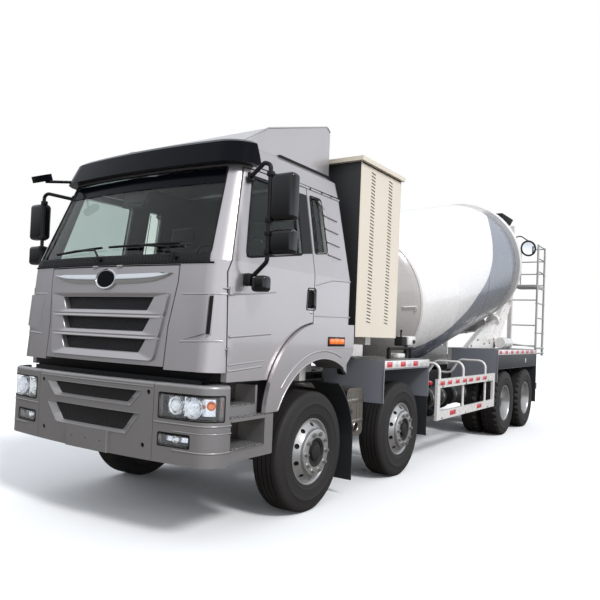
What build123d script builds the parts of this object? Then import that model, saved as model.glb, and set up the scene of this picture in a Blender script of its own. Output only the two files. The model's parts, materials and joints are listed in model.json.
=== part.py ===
from build123d import *
import math
import os

# Concrete mixer truck, four axles. Millimetres, +X forward, +Y left, +Z up.
# The model is drawn with X = 0 at the first axle and moved to the middle of its length at the end.

# ---------------------------------------------------------------- driving dimensions
FRONT_OVERHANG = 1540          # first axle to the bumper's face
AXLE_GAPS = (1910, 4170, 1350)  # first to second, second to third, third to fourth axle
REAR_OVERHANG = 1400           # last axle to the truck's rear end
AXLE_X = [0]
for gap in AXLE_GAPS:
    AXLE_X.append(AXLE_X[-1] - gap)
REAR_END = AXLE_X[3] - REAR_OVERHANG
TYRE_RADIUS = 540
AXLE_HEIGHT = TYRE_RADIUS
TYRE_WIDTH = 290
RIM_RADIUS = 286
STEER_WHEEL_Y = 1045           # middle plane of a steered wheel
TWIN_OUTER_Y = 1093            # middle plane of the outer twin tyre
TWIN_PITCH = 345               # between the middle planes of twin tyres
SPINDLE_RADIUS = 40
RUNNING_FIT = 0.05             # radial clearance of spindles, kingpins and hinge pins
KINGPIN_Y = 900
KINGPIN_RADIUS = 25

RAIL_OUTER_Y = 430
RAIL_DEPTH = 300
RAIL_FLANGE = 90
RAIL_WALL = 12
RAIL_TOP = 1080
RAIL_FRONT = 1130
RAIL_REAR_GAP = 820            # rails end this far behind the last axle
ENGINE_X = (-900, 620)

CAB_BOTTOM = 1210
CAB_WALL = 60
CAB_FLOOR_Z = 1400
CAB_FLOOR_THICKNESS = 50
CAB_BOW = 85                   # the front face is bowed by this much in plan
CAB_CORNER = 190
CAB_HALF_WIDTH = 1200
CAB_REAR = -600
BELT_Z = 2130
GUTTER_Z = 2920
ROOF_Z = 3160
SHUT_GAP = 10                  # round doors and lid
GLASS_SETBACK = 20
GLASS_THICKNESS = 6
TILT_PIVOT = (1400, 800)       # x, z of the cab's tilt axis
TILT_RANGE = 50
TILT_PIN = 25
TILT_ARM = 90                  # depth of the arms that join the cab to its tilt axis

DOOR_FRONT = 1256
DOOR_HINGE = (1250, CAB_HALF_WIDTH + 6)   # x, y of a door's hinge axis, just outside its skin
DOOR_HINGE_Z = (1450, 1900)    # middle of each hinge
LID_HINGE = (1398, 2090)       # x, z of the lid's hinge axis
LID_HINGE_Y = (150, -150)
HINGE_BARREL = 10
HINGE_PIN = 5
HINGE_LEAF = 30                # length of each leaf along the axis
HINGE_CLEARANCE = 0.3          # between the two leaves of a hinge
DOOR_REAR = 85
DOOR_EDGE = (1140, CAB_HALF_WIDTH - 58)    # x, y: forward of and inside these the door is thinned
LID_HALF_WIDTH = CAB_HALF_WIDTH - 440
LID_BOTTOM = 1310
LID_TOP = 2085
# z, and how far the lid's edge is past its half width
LID_EDGE = ((LID_TOP, 18), (1960, 18), (1620, -35), (LID_BOTTOM, -40))
LID_SLOT_HEIGHT = 105
LID_SLOTS = (                  # top, half width
    (1840, LID_HALF_WIDTH - 200), (1675, LID_HALF_WIDTH - 220), (1510, LID_HALF_WIDTH - 240))

BUMPER_TOP = 1200
BUMPER_BOTTOM = 610
BUMPER_WALL = 40
BUMPER_SEAM_Y = 705
BUMPER_GRILLES = (             # top, bottom, half width at the top, half width at the bottom
    (1120, 1000, 590, 470), (945, 780, 575, 430))
PLATE_PROUD = 22               # the plate panel stands this far in front of the bumper's skin
PLATE_PANEL = (254, 790)       # half width, top
PLATE_HOLES = (175, 697, 6)    # spacing, z, radius
HEADLAMP = ((1310, 1700), (760, 1300), (945, 1122))   # box that cuts the lamp out of the bumper's skin
FOG_LAMP = ((1310, 1700), (765, 1040), (742, 828))
STEP_BOX_X = (690, 1238)

ARCH_INNER = (-50, 600, 775)   # x, z, radius of the wheel arch's inner edge
ARCH_OUTER = (0, 892, 808)     # the same for its outer edge
ARCH_SKIN = 40
ARCH_LIP = 24

CABINET_FRONT = -790
CABINET_DEPTH = 965
CABINET_HALF_WIDTH = 1150
CABINET_BOTTOM = 1587
CABINET_TOP = 3390
CABINET_CAP = 45
CABINET_REAR = CABINET_FRONT - CABINET_DEPTH

DECK_HALF_WIDTH = 1250
# front edge, rear edge, top
FRONT_DECK = (AXLE_X[1] + TYRE_RADIUS + 80, AXLE_X[1] - TYRE_RADIUS - 95, 1340)
REAR_DECK = (AXLE_X[2] + TYRE_RADIUS + 40, AXLE_X[3] - TYRE_RADIUS - 150, 1450)
DECK_LIP = 100
DECK_PLATE = 10

DRUM_ORIGIN = (CABINET_REAR - 1115, 2090)   # x, z of a point on the drum's axis
DRUM_TILT = 13.2
DRUM_WALL = 10
DRUM_MAX_RADIUS = 1150
DRUM_MOUTH_RADIUS = 600
DRUM_LENGTH = 5300             # from the axis point to the mouth
DRUM_NOSE = 450                # from the axis point forward to the drive flange
DRUM_NOSE_RADIUS = 500
RING_RADIUS = 1160
RING_AT = 4340                 # middle of the track ring, along the axis
RING_WIDTH = 120
ROLLER_RADIUS = 120
ROLLER_ANGLE = 28              # each roller stands this far from straight below the axis
DRIVE_RADIUS = 210
DRIVE_LENGTH = 380

TANK_RADIUS = 270
TANK_CENTRE = (CABINET_REAR - 115 - TANK_RADIUS, 2730)   # x, z
TANK_HALF_LENGTH = 850

GUARD_X = (AXLE_X[1] - 990, AXLE_X[2] + 680)
GUARD_Z = (540, 1073)
GUARD_BAR = 115
GUARD_Y = 1235
GUARD_THICKNESS = 35
HOOP_X = (GUARD_X[0] - 180, GUARD_X[0] - 1110, GUARD_X[1] + 360)
HOOP_TOP = 1270
HOOP_RADIUS = 19

LADDER_Y = 1200
LADDER_TUBE = 20
LADDER_WIDTH = 580
LADDER_REAR = DRUM_ORIGIN[0] - 5960
PLATFORM_Z = 2740
POST_Y = RAIL_OUTER_Y + 210     # inner side of the hopper posts
POST_SIZE = 80
CHUTE_PIVOT_X = LADDER_REAR + 330
CHUTE_PIN_RADIUS = 35
CHUTE_HALF_WIDTH = 210
CHUTE_REACH = 1040             # from its hinge to its lip
CHUTE_TAIL = 250               # from its hinge back under the funnel
CHUTE_HINGE_Y = -60
CHUTE_HINGE_Z = 1720
CHUTE_SLOPE = 10
HOPPER_POST_X = LADDER_REAR + 600
SADDLE_Y = (RAIL_OUTER_Y - 85, RAIL_OUTER_Y - 5)   # feet that stand on a rail
FRAME_Y = (RAIL_OUTER_Y + 170, RAIL_OUTER_Y + 230)  # the rear pedestal's side frames
PEDESTAL_FOOT = 2750           # its front edge behind the drum's axis point

REAR_MOST = min(REAR_END, LADDER_REAR)
MIDDLE_X = (FRONT_OVERHANG + REAR_MOST) / 2
SIDES = (("left", 1), ("right", -1))

NODES = {}


# ---------------------------------------------------------------- helpers
def block(x, y, z):
    """Box between the two limits given for each axis."""
    low = [min(p) for p in (x, y, z)]
    size = [abs(p[1] - p[0]) for p in (x, y, z)]
    return Pos(*[a + s / 2 for a, s in zip(low, size)]) * Box(*size)


def both(shape):
    """A left piece and its mirror image on the right."""
    return [shape, mirror(shape, about=Plane.XZ)]


def side_prism(points, y):
    """Outline of x, z points extruded between two y limits."""
    face = make_face(Polyline(*points, close=True))
    return extrude(Plane((0, max(y), 0), (1, 0, 0), (0, -1, 0)) * face, amount=abs(y[1] - y[0]))


def cross_prism(points, x):
    """Outline of y, z points extruded between two x limits."""
    face = make_face(Polyline(*points, close=True))
    return extrude(Plane((min(x), 0, 0), (0, 1, 0), (1, 0, 0)) * face, amount=abs(x[1] - x[0]))


def rounded_slot(points, x, radius):
    """As cross_prism, with the two lowest corners rounded."""
    face = make_face(Polyline(*points, close=True))
    face = fillet(face.vertices().group_by(Axis.Y)[0], radius)
    return extrude(Plane((min(x), 0, 0), (0, 1, 0), (1, 0, 0)) * face, amount=abs(x[1] - x[0]))


def plan_prism(points, z):
    """Outline of x, y points extruded between two z limits."""
    face = make_face(Polyline(*points, close=True))
    return extrude(Pos(0, 0, min(z)) * face, amount=abs(z[1] - z[0]))


def rod(start, end, radius):
    """Round bar between two points."""
    start, end = Vector(*start), Vector(*end)
    plane = Plane(start, z_dir=end - start)
    return extrude(plane * Circle(radius), amount=(end - start).length)


def turned(profile, centre):
    """Closed profile of (offset outward, radius) points turned about the Y axis through centre."""
    face = make_face(Polyline(*[(r, t) for t, r in profile], close=True))
    return Pos(*centre) * revolve(face, Axis.Y)


def fused(pieces):
    """All pieces joined to one solid."""
    result = pieces[0]
    for piece in pieces[1:]:
        result = result + piece
    return result


def add(name, shape):
    """Store a node: one solid, or a list of solids that share the node."""
    NODES[name] = list(shape) if isinstance(shape, (list, tuple)) else [shape]


# ---------------------------------------------------------------- wheels and axles
def tyre(y, x):
    """Solid ring with rounded shoulders, seated on the rim."""
    half = TYRE_WIDTH / 2
    bead = half * 0.77
    profile = [(-bead, RIM_RADIUS + 20), (-bead, RIM_RADIUS + 0.3), (bead, RIM_RADIUS + 0.3),
               (bead, RIM_RADIUS + 20), (half * 0.97, TYRE_RADIUS - 190), (half, TYRE_RADIUS - 120),
               (half * 0.95, TYRE_RADIUS - 40), (half * 0.78, TYRE_RADIUS),
               (-half * 0.78, TYRE_RADIUS), (-half * 0.95, TYRE_RADIUS - 40),
               (-half, TYRE_RADIUS - 120), (-half * 0.97, TYRE_RADIUS - 190)]
    return turned(profile, (x, y, AXLE_HEIGHT))


def steer_rim(side, x):
    """Barrel, bulging disc and hub with a bore for the spindle."""
    half = TYRE_WIDTH / 2
    profile = [(-half * 0.88, RIM_RADIUS + 12), (-half * 0.80, RIM_RADIUS + 12),
               (-half * 0.80, RIM_RADIUS), (half * 0.80, RIM_RADIUS),
               (half * 0.80, RIM_RADIUS + 12), (half * 0.88, RIM_RADIUS + 12),
               (half * 0.88, RIM_RADIUS - 14), (60, RIM_RADIUS - 20), (78, 235), (104, 175),
               (104, 110), (140, 104), (140, 0), (100, 0), (100, SPINDLE_RADIUS + RUNNING_FIT),
               (-20, SPINDLE_RADIUS + RUNNING_FIT), (-20, 100), (84, 100), (84, 165), (58, 225),
               (40, RIM_RADIUS - 14), (-half * 0.88, RIM_RADIUS - 14)]
    profile = [(t * side, r) for t, r in profile]
    return turned(profile, (x, side * STEER_WHEEL_Y, AXLE_HEIGHT))


def twin_rims(side, x):
    """Two back-to-back rims on one planetary hub with a bore for the spindle."""
    half = TYRE_WIDTH / 2
    middle = TWIN_OUTER_Y - TWIN_PITCH / 2
    edge = TWIN_PITCH / 2
    profile = [(-edge - half * 0.88, RIM_RADIUS + 12), (-edge - half * 0.80, RIM_RADIUS + 12),
               (-edge - half * 0.80, RIM_RADIUS), (edge + half * 0.80, RIM_RADIUS),
               (edge + half * 0.80, RIM_RADIUS + 12), (edge + half * 0.88, RIM_RADIUS + 12),
               (edge + half * 0.88, RIM_RADIUS - 14), (60, RIM_RADIUS - 20), (14, 240), (14, 175),
               (150, 150), (210, 120), (210, 0), (150, 0),
               (150, SPINDLE_RADIUS + RUNNING_FIT), (-120, SPINDLE_RADIUS + RUNNING_FIT),
               (-120, 150), (-14, 175), (-14, 240), (-60, RIM_RADIUS - 20),
               (-edge - half * 0.88, RIM_RADIUS - 14)]
    profile = [(t * side, r) for t, r in profile]
    return turned(profile, (x, side * middle, AXLE_HEIGHT))


def knuckle(side, x):
    """Kingpin, yoke and wheel spindle of one steered wheel."""
    z = AXLE_HEIGHT
    yoke_in, yoke_out = KINGPIN_Y - 55, KINGPIN_Y + 100
    lugs = [block((-55, 55), (yoke_in, yoke_out), (z + 76, z + 108)),
            block((-55, 55), (yoke_in, yoke_out), (z - 108, z - 76))]
    web = block((-55, 55), (KINGPIN_Y + 65, yoke_out), (z - 108, z + 108))
    pin = rod((0, KINGPIN_Y, z - 90), (0, KINGPIN_Y, z + 90), KINGPIN_RADIUS)
    spindle = rod((0, yoke_out - 10, z), (0, STEER_WHEEL_Y + 90, z), SPINDLE_RADIUS)
    arm = block((-190, -20), (KINGPIN_Y - 10, KINGPIN_Y + 40), (z - 140, z - 108))
    shape = Pos(x, 0, 0) * fused([web, *lugs, pin, spindle, arm])
    return shape if side > 0 else mirror(shape, about=Plane.XZ)


def steer_axle(x):
    """Dropped beam with an eye for each kingpin."""
    z = AXLE_HEIGHT
    reach, low = KINGPIN_Y, z - 110
    outline = [(-reach, z - 45), (-reach, z + 45), (-reach + 140, z + 45), (-560, low + 50), (560, low + 50),
               (reach - 140, z + 45), (reach, z + 45), (reach, z - 45), (reach - 150, z - 45),
               (570, low - 50), (-570, low - 50), (-reach + 150, z - 45)]
    beam = cross_prism(outline, (-45, 45))
    for y in (-reach, reach):
        beam += rod((0, y, z - 70), (0, y, z + 70), 58)
    for y in (-reach, reach):
        beam -= rod((0, y, z - 100), (0, y, z + 100), KINGPIN_RADIUS + RUNNING_FIT)
    return Pos(x, 0, 0) * beam


def drive_axle(x, shaft_from, shaft_rise):
    """Banjo housing with spindles and the propeller shaft that reaches its pinion."""
    z = AXLE_HEIGHT
    inner_hub = TWIN_OUTER_Y - TWIN_PITCH / 2 - 130
    housing = rod((0, -inner_hub, z), (0, inner_hub, z), 75)
    housing += rod((-110, 0, z), (120, 0, z), 215)
    spindle = TWIN_OUTER_Y - TWIN_PITCH / 2 + 140
    housing += rod((0, -spindle, z), (0, spindle, z), SPINDLE_RADIUS)
    nose = rod((100, 0, z + 20), (330, 0, z + 60), 85)
    shaft = rod((320, 0, z + 58), (shaft_from - x, 0, z + shaft_rise), 55)
    return Pos(x, 0, 0) * fused([housing, nose, shaft])


def spring_pack(x, y, half_length, base, rise, thickness, width):
    """Curved leaf pack: base is its underside at the middle, rise how far its ends stand above it."""
    outer = ThreePointArc((x - half_length, base + rise), (x, base), (x + half_length, base + rise))
    inner = ThreePointArc((x - half_length, base + rise + thickness), (x, base + thickness),
                          (x + half_length, base + rise + thickness))
    ends = [Line(outer @ 0, inner @ 0), Line(outer @ 1, inner @ 1)]
    face = make_face([*outer.edges(), *inner.edges(), *[e for line in ends for e in line.edges()]])
    solid = extrude(Plane((0, y + width / 2, 0), (1, 0, 0), (0, -1, 0)) * face, amount=width)
    return solid


def running_gear():
    """All wheels, knuckles, axles and springs."""
    for number, x in enumerate(AXLE_X, start=1):
        for tag, side in (("l", 1), ("r", -1)):
            if number <= 2:
                add(f"tyre_{number}{tag}", tyre(side * STEER_WHEEL_Y, x))
                add(f"rim_{number}{tag}", steer_rim(side, x))
                add(f"knuckle_{number}{tag}", knuckle(side, x))
            else:
                pair = [TWIN_OUTER_Y, TWIN_OUTER_Y - TWIN_PITCH]
                add(f"tyres_{number}{tag}", [tyre(side * y, x) for y in pair])
                add(f"rims_{number}{tag}", twin_rims(side, x))
    add("steer_axle_beams", [steer_axle(x) for x in AXLE_X[:2]])
    add("drive_axles", [drive_axle(AXLE_X[2], ENGINE_X[0] - 2, 170),
                        drive_axle(AXLE_X[3], AXLE_X[2] - 115, 20)])
    springs = []
    steer_base = AXLE_HEIGHT - 60
    bogie_x = (AXLE_X[2] + AXLE_X[3]) / 2
    bogie_half = AXLE_GAPS[2] / 2
    for y in (45 - RAIL_OUTER_Y, RAIL_OUTER_Y - 45):
        for x in AXLE_X[:2]:
            top = RAIL_TOP - RAIL_DEPTH
            springs.append(spring_pack(x, y, 760, steer_base, top - steer_base - 70, 70, 80))
    for y in (-RAIL_OUTER_Y - 50, RAIL_OUTER_Y + 50):
        pack = spring_pack(bogie_x, y, bogie_half, AXLE_HEIGHT + 260, -185, 110, 80)
        s = math.copysign(1, y)
        saddle = block((bogie_x - 90, bogie_x + 90), (s * RAIL_OUTER_Y, s * (RAIL_OUTER_Y + 90)),
                       (AXLE_HEIGHT + 270, AXLE_HEIGHT + 420))
        springs.append(pack + saddle)
    add("leaf_springs", springs)


# ---------------------------------------------------------------- frame
def frame():
    """Two channel rails, cross members with the cab's hinge towers, engine."""
    rear = AXLE_X[3] - RAIL_REAR_GAP
    low = RAIL_TOP - RAIL_DEPTH
    inner = RAIL_OUTER_Y - RAIL_FLANGE
    rail = block((rear, RAIL_FRONT), (inner, RAIL_OUTER_Y), (low, RAIL_TOP))
    rail -= block((rear, RAIL_FRONT), (inner, RAIL_OUTER_Y - RAIL_WALL),
                  (low + RAIL_WALL, RAIL_TOP - RAIL_WALL))
    add("frame_rails", both(rail))

    web = RAIL_OUTER_Y - RAIL_WALL
    members = []
    for x in (-1150, -2600, -3700, -4700, AXLE_X[2] + 500, (AXLE_X[2] + AXLE_X[3]) / 2, AXLE_X[3] - 400):
        members.append(block((x - 50, x + 50), (-web, web), (low + 40, RAIL_TOP - 40)))
    nose = block((RAIL_FRONT, RAIL_FRONT + 90), (-620, 620), (low - 110, low + 100))
    pivot_x, pivot_z = TILT_PIVOT
    for side in (1, -1):
        tower = block((RAIL_FRONT + 90, pivot_x + 40), (side * 440, side * 480),
                      (pivot_z - 60, pivot_z + 40))
        nose += tower
        nose += rod((pivot_x, side * 440, pivot_z), (pivot_x, side * 600, pivot_z), TILT_PIN)
    members.append(nose)
    tail_front = rear - 90
    tail = block((tail_front, rear), (-RAIL_OUTER_Y, RAIL_OUTER_Y), (low, RAIL_TOP))
    tail += block((tail_front - 120, tail_front), (-60, 60), (low + 60, low + 90))
    tail += block((tail_front - 120, tail_front), (-60, 60), (low + 160, low + 190))
    tail -= rod((tail_front - 70, 0, low), (tail_front - 70, 0, RAIL_TOP), 20)
    members.append(tail)
    rest_x = (CAB_REAR + 100, CAB_REAR + 180)
    rest = block(rest_x, (-700, 700), (1355, CAB_FLOOR_Z - 0.3))
    for side in (1, -1):
        rest += block(rest_x, (side * SADDLE_Y[0], side * SADDLE_Y[1]), (RAIL_TOP, 1360))
    members.append(rest)
    add("cross_members", members)
    half = RAIL_OUTER_Y - RAIL_FLANGE - 10
    add("engine_block", block(ENGINE_X, (-half, half), (640, 1330)))


# ---------------------------------------------------------------- cab
CAB_SECTIONS = [  # z, middle of the front face, half width, rear face
    (CAB_BOTTOM, 1470, CAB_HALF_WIDTH, CAB_REAR),
    (BELT_Z, 1390, CAB_HALF_WIDTH, CAB_REAR),
    (GUTTER_Z, 1100, CAB_HALF_WIDTH - 135, CAB_REAR + 50),
    (ROOF_Z - 60, 1020, CAB_HALF_WIDTH - 180, CAB_REAR + 60),
    (ROOF_Z, 940, CAB_HALF_WIDTH - 270, CAB_REAR + 90),
]


def cab_section(z, front, half, rear, inset):
    """Plan outline at one height: bowed front, rounded corners."""
    f, h, r = front - inset, half - inset, rear + inset
    bow = ThreePointArc((f - CAB_BOW, -h), (f, 0), (f - CAB_BOW, h))
    rest = Polyline((f - CAB_BOW, h), (r, h), (r, -h), (f - CAB_BOW, -h))
    face = make_face([*bow.edges(), *rest.edges()])
    corners = face.vertices().sort_by(Axis.X)
    face = fillet(corners[-2:], CAB_CORNER - inset)
    corners = face.vertices().sort_by(Axis.X)
    face = fillet(corners[:2], 65 - min(inset, 60))
    return Pos(0, 0, z) * face


def cab_form(inset, top_drop=0, bottom_drop=0):
    """The cab's outer form, moved in by inset, or out where inset is negative."""
    rows = [list(row) for row in CAB_SECTIONS]
    rows[0][0] -= bottom_drop
    rows[-2][0] -= top_drop
    rows[-1][0] -= top_drop
    return loft([cab_section(*row, inset) for row in rows], ruled=True)


def disc(circle, y, grow=0):
    """Round plate about a circle (x, z, radius) between two y limits."""
    x, z, r = circle
    return rod((x, min(y), z), (x, max(y), z), r + grow)


def door_form(gap, y):
    """Prism of the door's outline, shrunk by gap all round, following the wheel arch."""
    front, rear, bottom = DOOR_FRONT - gap, DOOR_REAR + gap, CAB_BOTTOM + gap
    outline = [(rear, bottom), (front, bottom), (front, 2040), (965 - gap, GUTTER_Z - 10 - gap),
               (rear, GUTTER_Z + 10 - gap)]
    return side_prism(outline, y) - disc(ARCH_OUTER, y, gap)


def hinge_leaf(axis, angle_axis, along, leaf, bored):
    """Barrel with its leaf about a hinge axis; bored for the pin, or carrying the pin."""
    low, high = along
    if angle_axis == "z":
        start, end = (*axis, low), (*axis, high)
        pin = [(*axis, low - HINGE_LEAF), (*axis, high)]
    else:
        start, end = (axis[0], low, axis[1]), (axis[0], high, axis[1])
        pin = [(axis[0], low - HINGE_LEAF, axis[1]), (axis[0], high, axis[1])]
    barrel = rod(start, end, HINGE_BARREL) + leaf
    if bored:
        return barrel - rod(start, end, HINGE_PIN + RUNNING_FIT)
    return barrel + rod(*pin, HINGE_PIN)


def window_form(y):
    """Prism of the door's window."""
    return side_prism([(1065, 2175), (270, 2298), (262, 2853), (880, 2845)], y)


def quarter_form(y):
    """Prism of the fixed window behind the door."""
    return side_prism([(40, 2333), (-165, 2365), (-145, 2860), (35, 2856)], y)


def windscreen_form():
    """Prism of the windscreen's opening, along X."""
    low, high = CAB_HALF_WIDTH - 155, CAB_HALF_WIDTH - 260
    outline = [(-low, 2165), (low, 2165), (high, 2905), (-high, 2905)]
    return cross_prism(outline, (700, 1700))


def arch_form(y):
    """Prism of the wheel arch's band: a round front leg and a flat-topped rear part."""
    top = ARCH_OUTER[1] + ARCH_OUTER[2]
    leg_foot = 962
    front = disc(ARCH_OUTER, y) & block((0, 900), y, (leg_foot, top + 10))
    rear = side_prism([(0, top), (CAB_REAR, top), (CAB_REAR, 1440), (-420, 1265), (0, 1265)], y)
    return front + rear - disc(ARCH_INNER, y)


def lid_form(gap, spare):
    """Front lid's outline, grown by a gap at the sides and by spare at the top and bottom."""
    line = [(LID_HALF_WIDTH + out + gap, z) for z, out in LID_EDGE]
    line = [(line[0][0], line[0][1] + spare), *line[1:-1], (line[-1][0], line[-1][1] - spare)]
    return cross_prism([*line, *[(-y, z) for y, z in reversed(line)]], (1100, 2000))


def cab():
    """Hollow cab shell, doors, lid, panels and glass."""
    outer = cab_form(0)
    wall = outer - cab_form(CAB_WALL, top_drop=50, bottom_drop=40)
    core = cab_form(CAB_WALL + SHUT_GAP, top_drop=60, bottom_drop=60)
    side = (CAB_HALF_WIDTH - 300, CAB_HALF_WIDTH + 100)
    inside = (20 - CAB_HALF_WIDTH, CAB_HALF_WIDTH - 20)
    firewall = (1195, 1235)
    floor = (CAB_FLOOR_Z, CAB_FLOOR_Z + CAB_FLOOR_THICKNESS)
    head = (2095, 2125)

    shell = wall
    shell -= block((CAB_REAR - 10, CAB_REAR + 100), (inside[0] + 80, inside[1] - 80),
                   (CAB_BOTTOM - 50, floor[0]))
    shell -= block((DOOR_FRONT, 2000), (-1400, 1400), (CAB_BOTTOM - 50, 2095))
    shell -= windscreen_form()
    for piece in both(door_form(0, side) + disc(ARCH_INNER, side, ARCH_LIP)):
        shell -= piece
    for piece in both(quarter_form(side)):
        shell -= piece
    shell -= block((620, 1300), (-1300, 1300), (CAB_BOTTOM - 50, floor[0]))
    shell += block((CAB_REAR + 30, firewall[1]), inside, floor) & core
    shell += block((CAB_REAR + 30, 250), (inside[0] + 10, inside[1] - 10), floor)
    shell += block(firewall, inside, (floor[0], head[1])) & core
    shell += block((firewall[0], 1500), inside, head) & core
    shell += block((DOOR_FRONT, 1500), inside, head) & cab_form(CAB_WALL / 2)
    angle = math.radians(90 + TILT_RANGE)
    along = (math.cos(angle), math.sin(angle))
    half = TILT_ARM / 2
    reach = (floor[0] + 20 - TILT_PIVOT[1]) / along[1]
    corners = [(0, half), (reach, half), (reach, -half), (0, -half)]
    arm_line = [(TILT_PIVOT[0] + a * along[0] + b * along[1], TILT_PIVOT[1] + a * along[1] - b * along[0])
                for a, b in corners]
    for s in (1, -1):
        y = (s * 500, s * 540)
        arm = side_prism(arm_line, y) + disc((*TILT_PIVOT, half), y)
        arm += block((arm_line[2][0] - 100, arm_line[1][0]), y, (floor[0] - 40, floor[0] + 20))
        shell += arm - disc((*TILT_PIVOT, TILT_PIN + RUNNING_FIT), (s * 480, s * 560))
    x, z = LID_HINGE
    for y in LID_HINGE_Y:
        shell -= rod((x, y - HINGE_LEAF - 1, z), (x, y, z), HINGE_BARREL + 1)
        leaf = block((x - 24, x), (y, y + HINGE_LEAF), (z, z + 20))
        shell += hinge_leaf(LID_HINGE, "y", (y, y + HINGE_LEAF), leaf, False)
    add("cab_shell", shell)

    corner = wall & block((DOOR_FRONT, 2000), (LID_HALF_WIDTH - 100, 1300), (1290, 2095))
    corner -= lid_form(SHUT_GAP, 20)
    x, y = DOOR_HINGE
    for z in DOOR_HINGE_Z:
        middle = z + HINGE_LEAF / 2
        leaf = rod((x, y, middle), (x + 30, y - 66, middle), 8)
        corner += hinge_leaf(DOOR_HINGE, "z", (z, z + HINGE_LEAF), leaf, False)
    add("corner_panels", both(corner))
    lid = wall & lid_form(0, 0)
    for top, half_width in LID_SLOTS:
        low, narrow = top - LID_SLOT_HEIGHT, half_width - 60
        slot = [(-half_width, top), (half_width, top), (narrow, low), (-narrow, low)]
        lid -= rounded_slot(slot, (1200, 1600), 25)
    x, z = LID_HINGE
    for y in LID_HINGE_Y:
        along = (y - HINGE_LEAF, y - HINGE_CLEARANCE)
        lid -= rod((x, y - HINGE_CLEARANCE, z), (x, y + HINGE_LEAF + 1, z), HINGE_BARREL + 1)
        lid += hinge_leaf(LID_HINGE, "y", along, block((x - 24, x), along, (z - 20, z)), True)
    add("front_lid", lid)

    glass = cab_form(GLASS_SETBACK, 20, 20) - cab_form(GLASS_SETBACK + GLASS_THICKNESS, 26, 40)
    add("windscreen", [glass & windscreen_form(), *both(glass & quarter_form(side))])
    door = (wall & door_form(SHUT_GAP, side)) - window_form(side)
    door -= block((DOOR_EDGE[0], DOOR_FRONT), (side[0] - 200, DOOR_EDGE[1]), (CAB_BOTTOM, BELT_Z - 30))
    x, y = DOOR_HINGE
    for z in DOOR_HINGE_Z:
        along = (z - HINGE_LEAF, z - HINGE_CLEARANCE)
        door += hinge_leaf(DOOR_HINGE, "z", along, block((x - 24, x), (y - 46, y), along), True)
    for name, shape in (("door", door), ("door_glass", glass & window_form(side))):
        left, right = both(shape)
        add(f"{name}_left", left)
        add(f"{name}_right", right)

    lip_y = (CAB_HALF_WIDTH - 260, CAB_HALF_WIDTH)
    lip = (disc(ARCH_INNER, lip_y, ARCH_LIP) - disc(ARCH_INNER, lip_y)) & arch_form((0, CAB_HALF_WIDTH))
    add("wheel_arches", both(arch_form((CAB_HALF_WIDTH, CAB_HALF_WIDTH + ARCH_SKIN)) + lip))

    visor = cab_form(-80, -20, 0) - cab_form(0, -40, 0)
    visor &= block((860, 1400), (-1300, 1300), (2935, 3150))
    visor += rod((1060, 200 - CAB_HALF_WIDTH, 2965), (1270, 90 - CAB_HALF_WIDTH, 2935), 14)
    visor += Pos(1290, 80 - CAB_HALF_WIDTH, 2930) * Rot(0, 20, 0) * extrude(Ellipse(50, 140), amount=60)
    add("sun_visor", visor)
    fairing_line = [(800, ROOF_Z), (450, 3400), (-530, 3700), (-590, 3670), (-590, ROOF_Z)]
    hollow_line = [(740, ROOF_Z - 5), (440, 3365), (-540, 3665), (-700, 3640), (-700, ROOF_Z - 5)]
    half = CAB_HALF_WIDTH - 320
    fairing = side_prism(fairing_line, (-half, half)) - side_prism(hollow_line, (30 - half, half - 30))
    add("roof_fairing", fairing)
    cab_interior(floor[1])


def cab_interior(floor):
    """Seats, bunk, dashboard and steering wheel."""
    seat_y = CAB_HALF_WIDTH - 650
    seats = [block((CAB_REAR + 70, -120), (100 - CAB_HALF_WIDTH, CAB_HALF_WIDTH - 100), (floor, 1850))]
    for s in (1, -1):
        base = block((0, 520), (s * (seat_y - 250), s * (seat_y + 250)), (floor, 1900))
        back_y = (s * (seat_y - 240), s * (seat_y + 240))
        back = side_prism([(0, 1800), (120, 1800), (30, 2600), (-90, 2600)], back_y)
        seats.append(base + back)
    add("cab_seats", seats)
    dash = side_prism([(820, 1900), (860, 2085), (1195, 2085), (1195, 1600), (1000, 1600)],
                      (170 - CAB_HALF_WIDTH, CAB_HALF_WIDTH - 170))
    column = rod((860, seat_y, 2020), (690, seat_y, 2130), 30)
    rim = Pos(680, seat_y, 2136) * Rot(0, -57, 0) * Torus(225, 16)
    spokes = rod((680, seat_y - 215, 2136), (680, seat_y + 215, 2136), 14)
    add("dashboard", fused([dash, column, spokes, rim]))


def door_mirrors():
    """Mirror arms and housings on the doors."""
    x = 1040
    skin, arm_y = CAB_HALF_WIDTH, CAB_HALF_WIDTH + 200
    top = [(940, skin - 105, 2825), (x + 40, arm_y - 60, 2880), (x + 40, arm_y, 2820)]
    arm = rod(top[0], top[1], 16) + rod(top[1], top[2], 16)
    arm += rod(top[2], (x + 40, arm_y, 2130), 16) + rod((x + 40, arm_y, 2130), (1065, skin + 45, 2010), 16)
    for point in (top[1], top[2], (x + 40, arm_y, 2130)):
        arm += Pos(*point) * Sphere(16)
    arm += block((1020, 1110), (skin, skin + 62), (1950, 2050))
    arm += block((900, 980), (skin - 112, skin - 90), (2790, 2860))
    main = block((x - 55, x + 55), (arm_y, arm_y + 220), (2430, 2790))
    main = fillet(main.edges().filter_by(Axis.Z), 40)
    wide = block((x - 55, x + 55), (arm_y, arm_y + 210), (2180, 2370))
    wide = fillet(wide.edges().filter_by(Axis.Z), 40)
    kerb = block((1040, 1130), (skin + 62, arm_y), (1900, 2030))
    left = fused([arm, main, wide, kerb])
    left, right = both(left)
    add("mirror_left", left)
    add("mirror_right", right)


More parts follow.
